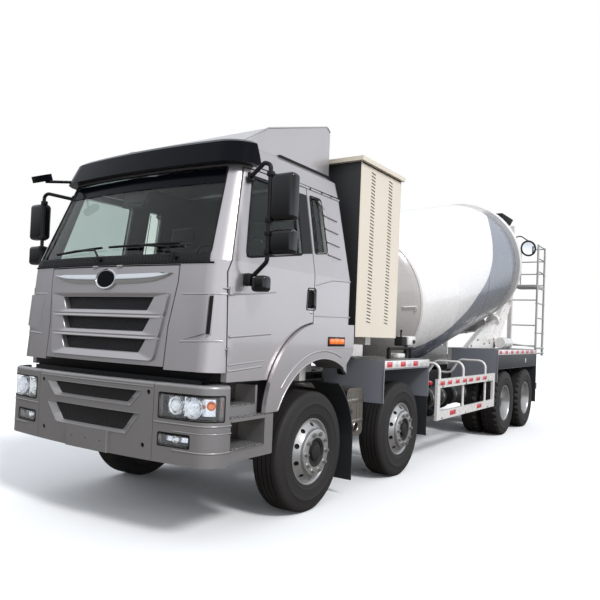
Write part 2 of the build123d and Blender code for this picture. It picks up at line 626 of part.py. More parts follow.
# ---------------------------------------------------------------- front end
def bumper_form(inset, z):
    """Plan outline of the bumper, moved in by inset, extruded between two heights."""
    front, half, rear = FRONT_OVERHANG - PLATE_PROUD - inset, 1245 - inset, 1250
    bow = ThreePointArc((front - 90, -half), (front, 0), (front - 90, half))
    rest = Polyline((front - 90, half), (rear, half), (rear, -half), (front - 90, -half))
    face = make_face([*bow.edges(), *rest.edges()])
    face = fillet(face.vertices().sort_by(Axis.X)[-2:], 175 - inset)
    return extrude(Pos(0, 0, z[0]) * face, amount=z[1] - z[0])


def front_end():
    """Bumper panels, lamps and step boxes."""
    z = (BUMPER_BOTTOM, BUMPER_TOP)
    shell = bumper_form(0, z)
    shell = fillet(shell.faces().sort_by(Axis.Z)[-1].edges().filter_by(GeomType.LINE, reverse=True), 24)
    shell -= bumper_form(BUMPER_WALL, (z[0] - 10, z[1] + 10))
    plate = block((FRONT_OVERHANG - 60, FRONT_OVERHANG), (-PLATE_PANEL[0], PLATE_PANEL[0]),
                  (z[0], PLATE_PANEL[1]))
    shell += fillet(plate.faces().sort_by(Axis.X)[-1].edges(), 6)
    for top, bottom, high, low in BUMPER_GRILLES:
        grille = [(-high, top), (high, top), (low, bottom), (-low, bottom)]
        shell -= rounded_slot(grille, (1350, 1700), 22)
    spacing, level, radius = PLATE_HOLES
    for y in (-spacing, 0, spacing):
        shell -= rod((1400, y, level), (1600, y, level), radius)
    for y, level in ((650, 1118), (612, 715)):
        for s in (1, -1):
            shell -= rod((1350, s * y, level), (1600, s * y, level), 18)
    for hole in (block(*HEADLAMP), block(*FOG_LAMP)):
        for cut in both(hole):
            shell -= cut
    seam = 2
    centre = shell & block((1100, 1700), (-BUMPER_SEAM_Y + seam, BUMPER_SEAM_Y - seam), z)
    corner = shell & block((1100, 1700), (BUMPER_SEAM_Y + seam, 1300), z)
    corner += block((STEP_BOX_X[1], 1300), (1150, 1210), (700, 900))
    skin = FRONT_OVERHANG - PLATE_PROUD
    for y in ((-560, -520), (520, 560)):
        centre += block((RAIL_FRONT + 90, skin - BUMPER_WALL), y, (635, 715))
    add("front_bumper", [centre, *both(corner)])

    band = bumper_form(3, z) - bumper_form(BUMPER_WALL, z)
    add("front_lamps", [*both(band & block(*HEADLAMP)), *both(band & block(*FOG_LAMP))])

    box_rear, box_front = STEP_BOX_X
    tall = block((box_rear + 140, box_front), (820, 1170), (950, 1180))
    low = block((box_rear, box_front), (820, 1235), (630, 950))
    steps = tall + low
    steps -= block((box_rear + 165, box_front - 20), (960, 1400), (1030, 1200))
    steps -= block((box_rear + 110, box_front - 20), (960, 1400), (715, 925))
    steps += block((box_rear + 200, box_rear + 300), (RAIL_OUTER_Y, 830), (800, 880))
    add("cab_steps", both(steps))


# ---------------------------------------------------------------- body on the frame
def pedestal_base():
    """Blocks under the rear pedestal's side frames, one on each rail."""
    x = (DRUM_ORIGIN[0] - 4580, DRUM_ORIGIN[0] - PEDESTAL_FOOT)
    return [block(x, (s * SADDLE_Y[0], s * FRAME_Y[1]), (RAIL_TOP, REAR_DECK[2])) for s in (1, -1)]


def decks():
    """Side decks with lips and mudguard panels across; the rear ones butt against the pedestal's base."""
    panels = []
    front, rear, top = FRONT_DECK
    inner = RAIL_OUTER_Y
    piece = block((rear, front), (inner + 60, DECK_HALF_WIDTH), (top - DECK_PLATE, top))
    piece += block((rear, front), (DECK_HALF_WIDTH - DECK_PLATE, DECK_HALF_WIDTH), (top - DECK_LIP, top))
    for x in (front, rear + DECK_PLATE):
        piece += block((x - DECK_PLATE, x), (inner + 60, DECK_HALF_WIDTH), (880, top))
    piece += block((front - 700, front - 620), (inner, inner + 80), (960, top - DECK_PLATE))
    panels += both(piece)
    front, rear, top = REAR_DECK
    piece = block((rear, front), (inner + 260, DECK_HALF_WIDTH), (top - DECK_PLATE, top))
    piece += block((rear, front), (DECK_HALF_WIDTH - DECK_PLATE, DECK_HALF_WIDTH), (1130, top))
    piece += block((front - DECK_PLATE, front), (inner + 30, DECK_HALF_WIDTH), (920, top))
    for x in (front - 200, front - 620, rear + 300):
        piece += block((x - 80, x), (inner - 85, inner + 300), (1180, 1260))
        piece += block((x - 80, x), (inner - 85, inner), (RAIL_TOP, 1200))
        piece += block((x - 80, x), (inner + 240, inner + 300), (1180, top - DECK_PLATE))
    for base in pedestal_base():
        piece -= base
    panels += both(piece)
    add("side_decks", panels)


def side_guards():
    """Side guard frames, each hung on three bent tubes."""
    x0, x1 = GUARD_X[1], GUARD_X[0]
    z0, z1 = GUARD_Z
    guard = block((x0, x1), (GUARD_Y - GUARD_THICKNESS, GUARD_Y), GUARD_Z)
    guard -= block((x0 + 90, x1 - 90), (0, 1300), (z0 + GUARD_BAR, z1 - GUARD_BAR))
    tube_y = GUARD_Y - GUARD_THICKNESS - HOOP_RADIUS + 4
    for x in HOOP_X:
        path = FilletPolyline((x, RAIL_OUTER_Y, HOOP_TOP - 220), (x, RAIL_OUTER_Y + 190, HOOP_TOP - 220),
                              (x, RAIL_OUTER_Y + 330, HOOP_TOP), (x, tube_y, HOOP_TOP),
                              (x, tube_y, z0 + 30), radius=110)
        guard += sweep(Plane(path @ 0, z_dir=path % 0) * Circle(HOOP_RADIUS), path)
    add("side_guards", both(guard))


def side_tanks():
    """Fuel tank on the right, air receivers on the left, each on brackets."""
    solids = []
    x = AXLE_X[1]
    tanks = ((1, x - 1440, x - 2040, 150), (1, x - 2340, x - 2940, 150), (-1, x - 1240, x - 2790, 290))
    for s, x0, x1, r in tanks:
        y = s * 820
        z = 760
        body = rod((x0, y, z), (x1, y, z), r)
        for x in (x0 - 100, x1 + 160):
            body += block((x - 60, x), (s * RAIL_OUTER_Y, y), (z + 40, z + 90))
        solids.append(body)
    add("side_tanks", solids)


def cabinet():
    """Tall ventilated cabinet behind the cab; returns the frames it stands on."""
    rear = CABINET_REAR
    body = block((rear, CABINET_FRONT), (-CABINET_HALF_WIDTH, CABINET_HALF_WIDTH),
                 (CABINET_BOTTOM, CABINET_TOP))
    body += block((rear - 35, CABINET_FRONT + 35), (-CABINET_HALF_WIDTH - 35, CABINET_HALF_WIDTH + 35),
                  (CABINET_TOP, CABINET_TOP + CABINET_CAP))
    add("equipment_cabinet", body)
    posts = []
    for x in (CABINET_FRONT - 160, rear + 200):
        leg = block((x - 60, x + 60), SADDLE_Y, (RAIL_TOP, CABINET_BOTTOM))
        beam = block((x - 60, x + 60), (-900, 900), (CABINET_BOTTOM - 90, CABINET_BOTTOM))
        posts.append(fused([beam, *both(leg)]))
    return posts


# ---------------------------------------------------------------- drum and its supports
DRUM_DIR = Vector(-math.cos(math.radians(DRUM_TILT)), 0, math.sin(math.radians(DRUM_TILT)))
DRUM_UP = Vector(math.sin(math.radians(DRUM_TILT)), 0, math.cos(math.radians(DRUM_TILT)))


def drum_point(along, side=0, up=0):
    """Point in space from its place along the drum's axis, to the left, and up from the axis."""
    base = Vector(DRUM_ORIGIN[0], 0, DRUM_ORIGIN[1])
    return base + DRUM_DIR * along + Vector(0, side, 0) + DRUM_UP * up


DRUM_PROFILE = [  # place along the axis, radius
    (-DRUM_NOSE, DRUM_NOSE_RADIUS), (0, 1000), (1000, DRUM_MAX_RADIUS), (3800, DRUM_MAX_RADIUS),
    (4420, 1050), (DRUM_LENGTH, DRUM_MOUTH_RADIUS)]


def drum_solid(profile):
    """Solid of revolution about the drum's tilted axis."""
    base = drum_point(0)
    plane = Plane(base, x_dir=DRUM_DIR, z_dir=(0, 1, 0))
    face = make_face(Polyline(*[(s, r) for s, r in profile], close=True))
    placed = plane * face
    return revolve(placed, Axis(base, DRUM_DIR))


def drum():
    """Hollow mixing drum with its track ring and drive flange."""
    skin = DRUM_PROFILE
    inside = [(s, r - DRUM_WALL) for s, r in reversed(skin)]
    inside[-1] = (-DRUM_NOSE + DRUM_WALL, DRUM_NOSE_RADIUS - DRUM_WALL)
    outline = [(-DRUM_NOSE, 0), *skin, *inside, (-DRUM_NOSE + DRUM_WALL, 0)]
    shell = drum_solid(outline)
    ring = [(RING_AT - RING_WIDTH / 2, 1040), (RING_AT + RING_WIDTH / 2, 1040),
            (RING_AT + RING_WIDTH / 2, RING_RADIUS), (RING_AT - RING_WIDTH / 2, RING_RADIUS)]
    core = drum_solid([(-DRUM_NOSE, 0), *[(s, r - 5) for s, r in skin], (DRUM_LENGTH, 0)])
    ring_solid = drum_solid(ring) - core
    flange = drum_solid([(-DRUM_NOSE - 60, 0), (-DRUM_NOSE - 60, 120), (-DRUM_NOSE + 2, 120),
                         (-DRUM_NOSE + 2, 0)])
    add("mixing_drum", fused([shell, ring_solid, flange]))

    start = -DRUM_NOSE - 66
    drive = drum_solid([(start, 0), (start, DRIVE_RADIUS), (start - DRIVE_LENGTH, DRIVE_RADIUS - 40),
                        (start - DRIVE_LENGTH, 0)])
    foot_x = drum_point(start - 190).X
    drive += block((foot_x - 130, foot_x + 130), (-260, 260), (1560, 1800))
    add("drum_drive", drive)


def front_stands(cabinet_frames):
    """Stand that carries the drive and the water tank, and the cabinet's two frames."""
    foot_x = drum_point(-DRUM_NOSE - 256).X
    y0, y1 = SADDLE_Y
    deck = block((foot_x - 150, foot_x + 150), (-y1, y1), (1500, 1560))
    legs = [block((foot_x - 150, foot_x + 150), (s * y0, s * y1), (RAIL_TOP, 1500)) for s in (1, -1)]
    tx, tz = TANK_CENTRE
    posts = [block((tx - 40, tx + 40), (s * y0, s * y1), (1560, tz - TANK_RADIUS + 30)) for s in (1, -1)]
    stand = fused([deck, *legs, *posts])
    stand -= rod((tx, -TANK_HALF_LENGTH, tz), (tx, TANK_HALF_LENGTH, tz), TANK_RADIUS + 0.3)
    add("front_stands", [stand, *cabinet_frames])
    tank = rod((tx, -TANK_HALF_LENGTH, tz), (tx, TANK_HALF_LENGTH, tz), TANK_RADIUS)
    tank = fillet(tank.edges(), 60)
    add("water_tank", tank)


def rear_pedestal():
    """Leaning side frames, roller beam with two rollers, and posts for the hoppers."""
    deck = REAR_DECK[2]
    back = DRUM_ORIGIN[0]
    outline = [(back - PEDESTAL_FOOT, deck), (back - 3550, 1800), (back - 4480, 2000), (back - 5230, 2620),
               (back - 5430, 2620), (back - 5430, 2400), (back - 4430, deck)]
    frames = [side_prism(outline, (s * FRAME_Y[0], s * FRAME_Y[1])) for s in (1, -1)]
    px, half = HOPPER_POST_X, POST_SIZE / 2
    post_y = (POST_Y, POST_Y + POST_SIZE)
    parts = [*pedestal_base(), *frames]
    for s in (1, -1):
        parts.append(block((px - half, px + half), (s * post_y[0], s * post_y[1]), (RAIL_TOP, 3960)))
        parts.append(block((px - 40, px + 40), (s * SADDLE_Y[0], s * (POST_Y + 60)),
                           (RAIL_TOP, RAIL_TOP + 80)))
        parts.append(block((px - 40, px + 80), (s * FRAME_Y[0], s * post_y[1]), (2420, 2600)))
    gap = 0.3
    turn = math.radians(ROLLER_ANGLE)
    reach = RING_RADIUS + ROLLER_RADIUS + gap
    for s in (1, -1):
        a = drum_point(RING_AT - 75, s * reach * math.sin(turn), -reach * math.cos(turn))
        b = drum_point(RING_AT + 75, s * reach * math.sin(turn), -reach * math.cos(turn))
        parts.append(rod(a, b, ROLLER_RADIUS))
    beam_x = drum_point(RING_AT, 0, -reach * math.cos(turn)).X
    parts.append(block((beam_x - 120, beam_x + 120), (-FRAME_Y[1], FRAME_Y[1]), (1760, 1895)))
    pin_top = CHUTE_HINGE_Z - 130
    parts.append(block((CHUTE_PIVOT_X - 60, px), (-120, 120), (1180, 1260)))
    parts.append(block((px - 40, px + 40), (-POST_Y - 60, POST_Y + 60), (1180, 1260)))
    parts.append(rod((CHUTE_PIVOT_X, 0, 1200), (CHUTE_PIVOT_X, 0, pin_top), CHUTE_PIN_RADIUS))
    add("rear_pedestal", fused(parts))


def funnel(top, bottom, z_top, z_bottom, wall):
    """Open four-sided funnel; top and bottom are (rear x, front x, half width)."""
    def rect(row, z, inset):
        x0, x1, half = row
        return Pos((x0 + x1) / 2, 0, z) * Rectangle(x1 - x0 - 2 * inset, 2 * (half - inset))
    outer = loft([rect(bottom, z_bottom, 0), rect(top, z_top, 0)], ruled=True)
    inner = loft([rect(bottom, z_bottom, wall), rect(top, z_top, wall)], ruled=True)
    return outer - inner


def hoppers():
    """Charging hopper above the drum's mouth and discharge funnel below it."""
    px = HOPPER_POST_X
    hopper = funnel((LADDER_REAR + 30, px + 250, 520), (px - 50, px + 250, 300), 4200, 3420, 12)
    funnel_low = funnel((LADDER_REAR + 70, px + 15, 560), (CHUTE_PIVOT_X - 60, px - 30, 160),
                        3250, 2140, 12)
    funnel_low -= block((px - 70, px + 100), (-600, 600), (2700, 3300))
    for s in (1, -1):
        hopper += block((px - 30, px + 30), (s * 425, s * POST_Y), (3850, 3900))
        funnel_low += block((px - 130, px - 100), (s * 430, s * POST_Y), (2950, 3010))
        funnel_low += block((px - 130, px + 30), (s * (POST_Y - 40), s * POST_Y), (2950, 3010))
    add("hoppers", [hopper, funnel_low])


def chute():
    """Slewing bracket and the discharge chute hinged on it, stowed pointing right."""
    x, y, z = CHUTE_PIVOT_X, CHUTE_HINGE_Y, CHUTE_HINGE_Z
    sleeve_top = z - 80
    bracket = rod((x, 0, 1280), (x, 0, sleeve_top), CHUTE_PIN_RADIUS + 30)
    bracket += block((x - 60, x + 60), (y - 50, 65), (sleeve_top - 40, sleeve_top))
    for s in (1, -1):
        bracket += block((x + s * 60, x + s * 35), (y - 30, y + 30), (sleeve_top - 40, z + 30))
    bracket += rod((x - 60, y, z), (x + 60, y, z), 15)
    bracket -= rod((x, 0, 1200), (x, 0, sleeve_top - 50), CHUTE_PIN_RADIUS + RUNNING_FIT)
    add("chute_bracket", bracket)

    slope = math.radians(CHUTE_SLOPE)
    radius = CHUTE_HALF_WIDTH
    inner = radius - 10
    outer_arc = ThreePointArc((-radius, 0), (0, -radius), (radius, 0))
    inner_arc = ThreePointArc((inner, 0), (0, -inner), (-inner, 0))
    edges = [outer_arc, Line((radius, 0), (inner, 0)), inner_arc, Line((-inner, 0), (-radius, 0))]
    section = make_face([edge for line in edges for edge in line.edges()])
    down = Vector(0, -math.cos(slope), -math.sin(slope))
    up = Vector(0, -math.sin(slope), math.cos(slope))
    start = Vector(x, y, z) + up * (radius + 55) - down * CHUTE_TAIL
    plane = Plane(start, x_dir=(1, 0, 0), z_dir=down)
    trough = extrude(plane * section, amount=CHUTE_TAIL + CHUTE_REACH)
    lug = block((x - 25, x + 25), (y - 30, y + 30), (z - 30, z + 62))
    lug -= rod((x - 60, y, z), (x + 60, y, z), 15 + RUNNING_FIT)
    add("discharge_chute", trough + lug)


def ladder():
    """Access ladder, platform and hand rails at the left rear."""
    x0 = LADDER_REAR + LADDER_TUBE
    x1 = x0 + LADDER_WIDTH
    y = LADDER_Y
    inner_y = POST_Y + POST_SIZE
    parts = [rod((x, y, 1320), (x, y, 3560), LADDER_TUBE) for x in (x0, x1)]
    for i in range(5):
        z = 1480 + i * 300
        parts.append(rod((x0, y, z), (x1, y, z), 12))
    parts.append(block((x0, x1 + 40), (inner_y, y), (PLATFORM_Z - 40, PLATFORM_Z)))
    for z in (3020, 3280, 3540):
        parts.append(rod((x0, y, z), (x0, inner_y, z), 12))
        parts.append(rod((x0, y, z), (x1, y, z), 12))
    parts.append(rod((x0, inner_y, PLATFORM_Z - 10), (x0, inner_y, 3540), 14))
    for z in (1520, 1930, 2440):
        parts.append(rod((x1, y, z), (x1, inner_y, z), 12))
    add("access_ladder", fused(parts))


def tail():
    """Rear underrun bar on two brackets."""
    x = REAR_END + 180
    bar = block((x, x + 100), (-1150, 1150), (640, 760))
    for s in (1, -1):
        bar += block((x + 20, x + 100), (s * 300, s * 380), (640, 900))
        bar += block((x + 20, AXLE_X[3] - RAIL_REAR_GAP - 90), (s * 300, s * 380), (820, 900))
    add("underrun_bar", bar)


def mudguards():
    """Curved guards behind the first axle's wheels, and mud flaps."""
    inner, outer = 720, 732
    y = (880, CAB_HALF_WIDTH)
    ring = disc((0, AXLE_HEIGHT, outer), y) - disc((0, AXLE_HEIGHT, inner), y)
    low_end = (outer * math.cos(math.radians(175)), AXLE_HEIGHT + outer * math.sin(math.radians(175)))
    wedge = side_prism([(0, AXLE_HEIGHT), (-850, AXLE_HEIGHT + 74), (-850, 1750), (-567, 1350)], y)
    guard = ring & wedge
    guard += block((low_end[0], low_end[0] + 12), y, (160, low_end[1] + 20))
    guard += block((-705, -662), (RAIL_OUTER_Y, y[1]), (820, 860))
    deck_rear = block((FRONT_DECK[1], FRONT_DECK[1] + DECK_PLATE), (620, 1240), (400, 880))
    tail_flap = block((REAR_DECK[1] - 12, REAR_DECK[1]), (640, DECK_HALF_WIDTH), (420, 1440))
    add("mudguards", [*both(guard), *both(deck_rear), *both(tail_flap)])


def silencer():
    """Box silencer between the first two axles, its outlet facing left."""
    x, y, z = (-1090, -745), (RAIL_OUTER_Y, 1110), (565, 1060)
    box = fillet(block(x, y, z).edges().filter_by(Axis.Y), 60)
    box -= rod((-900, 1000, 665), (-900, 1200, 665), 50)
    add("silencer", box)


def main():
    running_gear()
    frame()
    cab()
    door_mirrors()
    front_end()
    decks()
    side_guards()
    side_tanks()
    drum()
    front_stands(cabinet())
    rear_pedestal()
    hoppers()
    chute()
    ladder()
    tail()
    mudguards()
    silencer()
    os.makedirs("parts", exist_ok=True)
    for name, pieces in NODES.items():
        solids = [Pos(-MIDDLE_X, 0, 0) * s for piece in pieces for s in piece.solids()]
        export_step(Compound(children=solids) if len(solids) > 1 else solids[0], f"parts/{name}.step")
    print(len(NODES), "nodes, middle at", MIDDLE_X)


main()
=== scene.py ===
import json
import math

import bpy
from mathutils import Matrix, Vector

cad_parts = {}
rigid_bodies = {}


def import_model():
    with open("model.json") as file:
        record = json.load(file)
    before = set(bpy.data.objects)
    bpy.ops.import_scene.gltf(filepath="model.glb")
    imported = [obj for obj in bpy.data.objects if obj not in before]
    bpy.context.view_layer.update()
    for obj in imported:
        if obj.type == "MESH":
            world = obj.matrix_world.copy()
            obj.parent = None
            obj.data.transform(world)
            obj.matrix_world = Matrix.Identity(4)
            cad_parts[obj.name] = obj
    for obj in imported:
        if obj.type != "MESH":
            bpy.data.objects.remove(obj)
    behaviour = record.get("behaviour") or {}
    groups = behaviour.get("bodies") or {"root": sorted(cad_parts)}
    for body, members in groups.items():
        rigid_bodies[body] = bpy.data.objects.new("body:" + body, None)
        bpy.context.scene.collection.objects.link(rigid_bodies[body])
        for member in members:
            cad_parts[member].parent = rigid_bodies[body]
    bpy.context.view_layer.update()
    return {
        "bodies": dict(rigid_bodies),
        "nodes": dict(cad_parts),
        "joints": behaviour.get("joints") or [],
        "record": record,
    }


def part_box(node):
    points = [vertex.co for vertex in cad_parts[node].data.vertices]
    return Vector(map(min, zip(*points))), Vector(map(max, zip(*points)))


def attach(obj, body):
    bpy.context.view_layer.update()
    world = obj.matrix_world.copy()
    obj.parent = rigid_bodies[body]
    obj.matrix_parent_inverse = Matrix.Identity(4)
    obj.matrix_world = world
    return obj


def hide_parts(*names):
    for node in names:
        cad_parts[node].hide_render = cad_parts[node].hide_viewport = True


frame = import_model()
NODES = frame["nodes"]


def middle(node):
    """Centre of a CAD node's box."""
    low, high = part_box(node)
    return (low + high) / 2


FRONT_AXLE = middle("tyre_1l").x
FORWARD, BACK, LEFT, UP = (1, 0, 0), (-1, 0, 0), (0, 1, 0), (0, 0, 1)


def at(x, y, z):
    """A place given forward of the first axle, to the left of the middle and above the ground."""
    return Vector((FRONT_AXLE + x, y, z))


# ---------------------------------------------------------------- modelling
def deselect():
    if bpy.context.object and bpy.context.object.mode != "OBJECT":
        bpy.ops.object.mode_set(mode="OBJECT")
    bpy.ops.object.select_all(action="DESELECT")


def activate(piece):
    deselect()
    piece.select_set(True)
    bpy.context.view_layer.objects.active = piece


def edit(piece):
    """Edit mode with everything selected."""
    activate(piece)
    bpy.ops.object.mode_set(mode="EDIT")
    bpy.ops.mesh.select_mode(type="VERT")
    bpy.ops.mesh.select_all(action="SELECT")


def done():
    bpy.ops.object.mode_set(mode="OBJECT")


def modify(piece, kind, **settings):
    """Add a modifier and apply it."""
    activate(piece)
    bpy.ops.object.modifier_add(type=kind)
    modifier = piece.modifiers[-1]
    for key, value in settings.items():
        setattr(modifier, key, value)
    bpy.ops.object.modifier_apply(modifier=modifier.name)
    return piece


def soften(piece, width, segments=2, angle=35):
    """Bevel the sharp edges."""
    return modify(piece, "BEVEL", width=width, segments=segments, limit_method="ANGLE",
                  angle_limit=math.radians(angle), harden_normals=False)


def smooth(piece, angle=35):
    activate(piece)
    bpy.ops.object.shade_smooth_by_angle(angle=math.radians(angle))
    return piece


def settle(piece):
    """Put the piece's place into its mesh."""
    activate(piece)
    bpy.ops.object.transform_apply(location=True, rotation=True, scale=True)
    return piece


def join(name, pieces):
    """One piece made of several."""
    deselect()
    for piece in pieces:
        piece.select_set(True)
    bpy.context.view_layer.objects.active = pieces[0]
    if len(pieces) > 1:
        bpy.ops.object.join()
    joined = bpy.context.view_layer.objects.active
    joined.name = name
    return joined


def paint(piece, material):
    """Give the whole piece one material."""
    piece.data.materials.clear()
    piece.data.materials.append(material)
    return piece


def slab(x, y, z, material, round_edge=0.0, segments=2):
    """Block between two limits on each axis, given like at()."""
    deselect()
    low = at(min(x), min(y), min(z))
    size = (abs(x[1] - x[0]), abs(y[1] - y[0]), abs(z[1] - z[0]))
    centre = low + Vector(size) / 2
    bpy.ops.mesh.primitive_cube_add(size=1, location=centre)
    piece = bpy.context.object
    piece.scale = size
    settle(piece)
    if round_edge:
        soften(piece, round_edge, segments)
    return smooth(paint(piece, material))


def slabs(rows, material, round_edge=0.0, segments=2):
    """Blocks of one material, each row giving its limits on the three axes."""
    return [slab(*row, material, round_edge, segments) for row in rows]


def plate(points, push, material, round_edge=0.0, segments=2):
    """Flat outline through the given places, thickened by the vector push."""
    deselect()
    bpy.ops.mesh.primitive_circle_add(vertices=len(points), fill_type="NGON")
    piece = bpy.context.object
    for vertex, point in zip(piece.data.vertices, points):
        vertex.co = point
    edit(piece)
    bpy.ops.mesh.extrude_region_move(TRANSFORM_OT_translate={"value": push})
    bpy.ops.mesh.select_all(action="SELECT")
    bpy.ops.mesh.normals_make_consistent(inside=False)
    done()
    if round_edge:
        soften(piece, round_edge, segments)
    return smooth(paint(piece, material))


def arc_place(start, corner, end, t):
    """Place at a share t of the way round a rounded corner."""
    return start * (1 - t) ** 2 + corner * (2 * t * (1 - t)) + end * t ** 2


def rounded(points, radius, steps=5):
    """The corners of a line of places replaced by arcs."""
    result = [Vector(points[0])]
    for before, corner, after in zip(points, points[1:], points[2:]):
        corner = Vector(corner)
        a, b = Vector(before) - corner, Vector(after) - corner
        half = a.angle(b) / 2
        reach = min(radius / math.tan(half), a.length * 0.49, b.length * 0.49)
        start, end = corner + a.normalized() * reach, corner + b.normalized() * reach
        result += [arc_place(start, corner, end, i / steps) for i in range(steps + 1)]
    result.append(Vector(points[-1]))
    return result


def tube(points, radius, material, bend=0.0, sides=10, closed=False):
    """Round bar or pipe along a line of places."""
    deselect()
    route = rounded(points, bend) if bend else [Vector(p) for p in points]
    bpy.ops.curve.primitive_bezier_curve_add()
    piece = bpy.context.object
    curve = piece.data
    curve.splines.clear()
    line = curve.splines.new("POLY")
    line.points.add(len(route) - 1)
    for point, place in zip(line.points, route):
        point.co = (*place, 1)
    line.use_cyclic_u = closed
    curve.dimensions = "3D"
    curve.bevel_depth = radius
    curve.bevel_resolution = max(0, sides // 4)
    curve.use_fill_caps = True
    curve.twist_mode = "MINIMUM"
    settle_curve(piece)
    return smooth(paint(piece, material), 50)


def settle_curve(piece):
    """Turn a curve into a mesh with its place in it."""
    activate(piece)
    bpy.ops.object.location_clear()
    bpy.ops.object.convert(target="MESH")
    return piece


def lathe(profile, centre, axis, material, steps=64, angle=35):
    """Closed outline of (place along the axis, radius) pairs turned about an axis."""
    deselect()
    axis = Vector(axis).normalized()
    side = Vector((0, 0, 1)) if abs(axis.z) < 0.9 else Vector((1, 0, 0))
    out = (side - axis * side.dot(axis)).normalized()
    centre = Vector(centre)
    bpy.ops.mesh.primitive_circle_add(vertices=len(profile), fill_type="NOTHING")
    piece = bpy.context.object
    for vertex, (along, radius) in zip(piece.data.vertices, profile):
        vertex.co = centre + axis * along + out * radius
    edit(piece)
    bpy.ops.mesh.spin(steps=steps, angle=math.tau, center=centre, axis=axis)
    bpy.ops.mesh.select_all(action="SELECT")
    bpy.ops.mesh.remove_doubles(threshold=0.00002)
    bpy.ops.mesh.dissolve_degenerate(threshold=0.00002)
    bpy.ops.mesh.select_all(action="SELECT")
    bpy.ops.mesh.normals_make_consistent(inside=False)
    done()
    return smooth(paint(piece, material), angle)


def pin(start, end, radius, place, axis, material, sides):
    """Round bar between two places along an axis."""
    return lathe([(start, 0), (start, radius), (end, radius), (end, 0)], place, axis, material, sides)


def band(reach, inner, outer, place, axis, material, sides):
    """Flat band round an axis, reaching as far to both sides."""
    section = [(-reach, inner), (-reach, outer), (reach, outer), (reach, inner)]
    return lathe(section, place, axis, material, sides)


def copy_of(piece, matrix):
    """A copy with its own mesh, moved by a matrix in space."""
    twin = piece.copy()
    twin.data = piece.data.copy()
    bpy.context.scene.collection.objects.link(twin)
    twin.data.transform(matrix)
    if matrix.determinant() < 0:
        twin.data.flip_normals()
    return twin


def on_right(piece):
    """The piece mirrored to the truck's right side."""
    return copy_of(piece, Matrix.Scale(-1, 4, (0, 1, 0)))


def carve(piece, cutters):
    """Cut shapes out of a closed piece."""
    cutter = join("cutter", cutters)
    modify(piece, "BOOLEAN", object=cutter, operation="DIFFERENCE", solver="EXACT")
    bpy.data.objects.remove(cutter)
    return piece


def fit(name, pieces, body, stands_for=()):
    """Join, name and hang the pieces on a body."""
    piece = join(name, list(pieces))
    piece.data.name = name
    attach(piece, body)
    if stands_for:
        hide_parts(*stands_for)
    return piece


# ---------------------------------------------------------------- materials
def linear(code, alpha=1.0):
    """sRGB hex to a linear colour."""
    parts = [int(code[i:i + 2], 16) / 255 for i in (1, 3, 5)]
    return (*[c / 12.92 if c <= 0.04045 else ((c + 0.055) / 1.055) ** 2.4 for c in parts], alpha)


def feed(made, feeds):
    """Set or link a shader node's inputs by socket."""
    for socket, value in feeds.items():
        if isinstance(value, bpy.types.NodeSocket):
            made.id_data.links.new(value, made.inputs[socket])
        else:
            made.inputs[socket].default_value = value
    return made


def node(tree, kind, feeds=None, **settings):
    """Add one shader node with its settings, and its values or links by socket."""
    made = tree.nodes.new("ShaderNode" + kind)
    for key, value in settings.items():
        setattr(made, key, value)
    return feed(made, feeds or {})


def blank(name):
    """Empty material, its tree, its Object coordinates and its shader wired to the output."""
    material = bpy.data.materials.new(name)
    material.use_nodes = True
    tree = material.node_tree
    tree.nodes.clear()
    output = tree.nodes.new("ShaderNodeOutputMaterial")
    shader = tree.nodes.new("ShaderNodeBsdfPrincipled")
    tree.links.new(shader.outputs[0], output.inputs["Surface"])
    place = tree.nodes.new("ShaderNodeTexCoord").outputs["Object"]
    return material, tree, place, shader


def surface(name, dark, light, grain_mm, rough, bump_mm=0.0, stretch=(1, 1, 1), **sockets):
    """Colour that wanders between two tones, roughness likewise, and a bump, all at one grain size."""
    material, tree, place, shader = blank(name)
    scaled = node(tree, "Mapping", {"Vector": place, "Scale": stretch}).outputs[0]
    grain = node(tree, "TexNoise", {"Vector": scaled, "Scale": 1000 / grain_mm, "Detail": 4.0,
                                    "Roughness": 0.6}).outputs[0]
    cloud = node(tree, "TexNoise", {"Vector": place, "Scale": 1.7, "Detail": 3.0}).outputs[0]
    blend = node(tree, "Math", {0: grain, 1: cloud}, operation="ADD").outputs[0]
    spread = node(tree, "MapRange", {"Value": blend, "From Min": 0.6, "From Max": 1.4}).outputs[0]
    colour = node(tree, "Mix", {"Factor": spread, 6: linear(dark), 7: linear(light)}, data_type="RGBA")
    wear = node(tree, "MapRange", {"Value": grain, "From Min": 0.3, "From Max": 0.7,
                                   "To Min": rough[0], "To Max": rough[1]})
    feed(shader, {"Base Color": colour.outputs[2], "Roughness": wear.outputs[0]})
    if bump_mm:
        bump = node(tree, "Bump", {"Height": grain, "Strength": 0.5, "Distance": bump_mm / 1000})
        feed(shader, {"Normal": bump.outputs[0]})
    feed(shader, {socket.replace("_", " "): value for socket, value in sockets.items()})
    return material


def aluminium_flake_lacquer():
    """Silver car paint: aluminium flake under clear lacquer, which darkens softly as the panel turns."""
    return surface("aluminium_flake_lacquer", "#B2ADAE", "#BCB7B8", 1.2, (0.30, 0.38), 0.02,
                   Metallic=0.72, Coat_Weight=0.8, Coat_Roughness=0.06)


LINING_LEVEL = 2.13            # above this height the cab's walls lean inwards
# The cab's inside: shares of x and of the distance from the middle, lean, and what their sum stays under.
LINED = (
    (0, 1, .171, 1.168), (1, 0, .367, 1.300), (1, 1, .538, 2.335), (-1, 0, .0, .565), (0, 0, 1.0, .955))


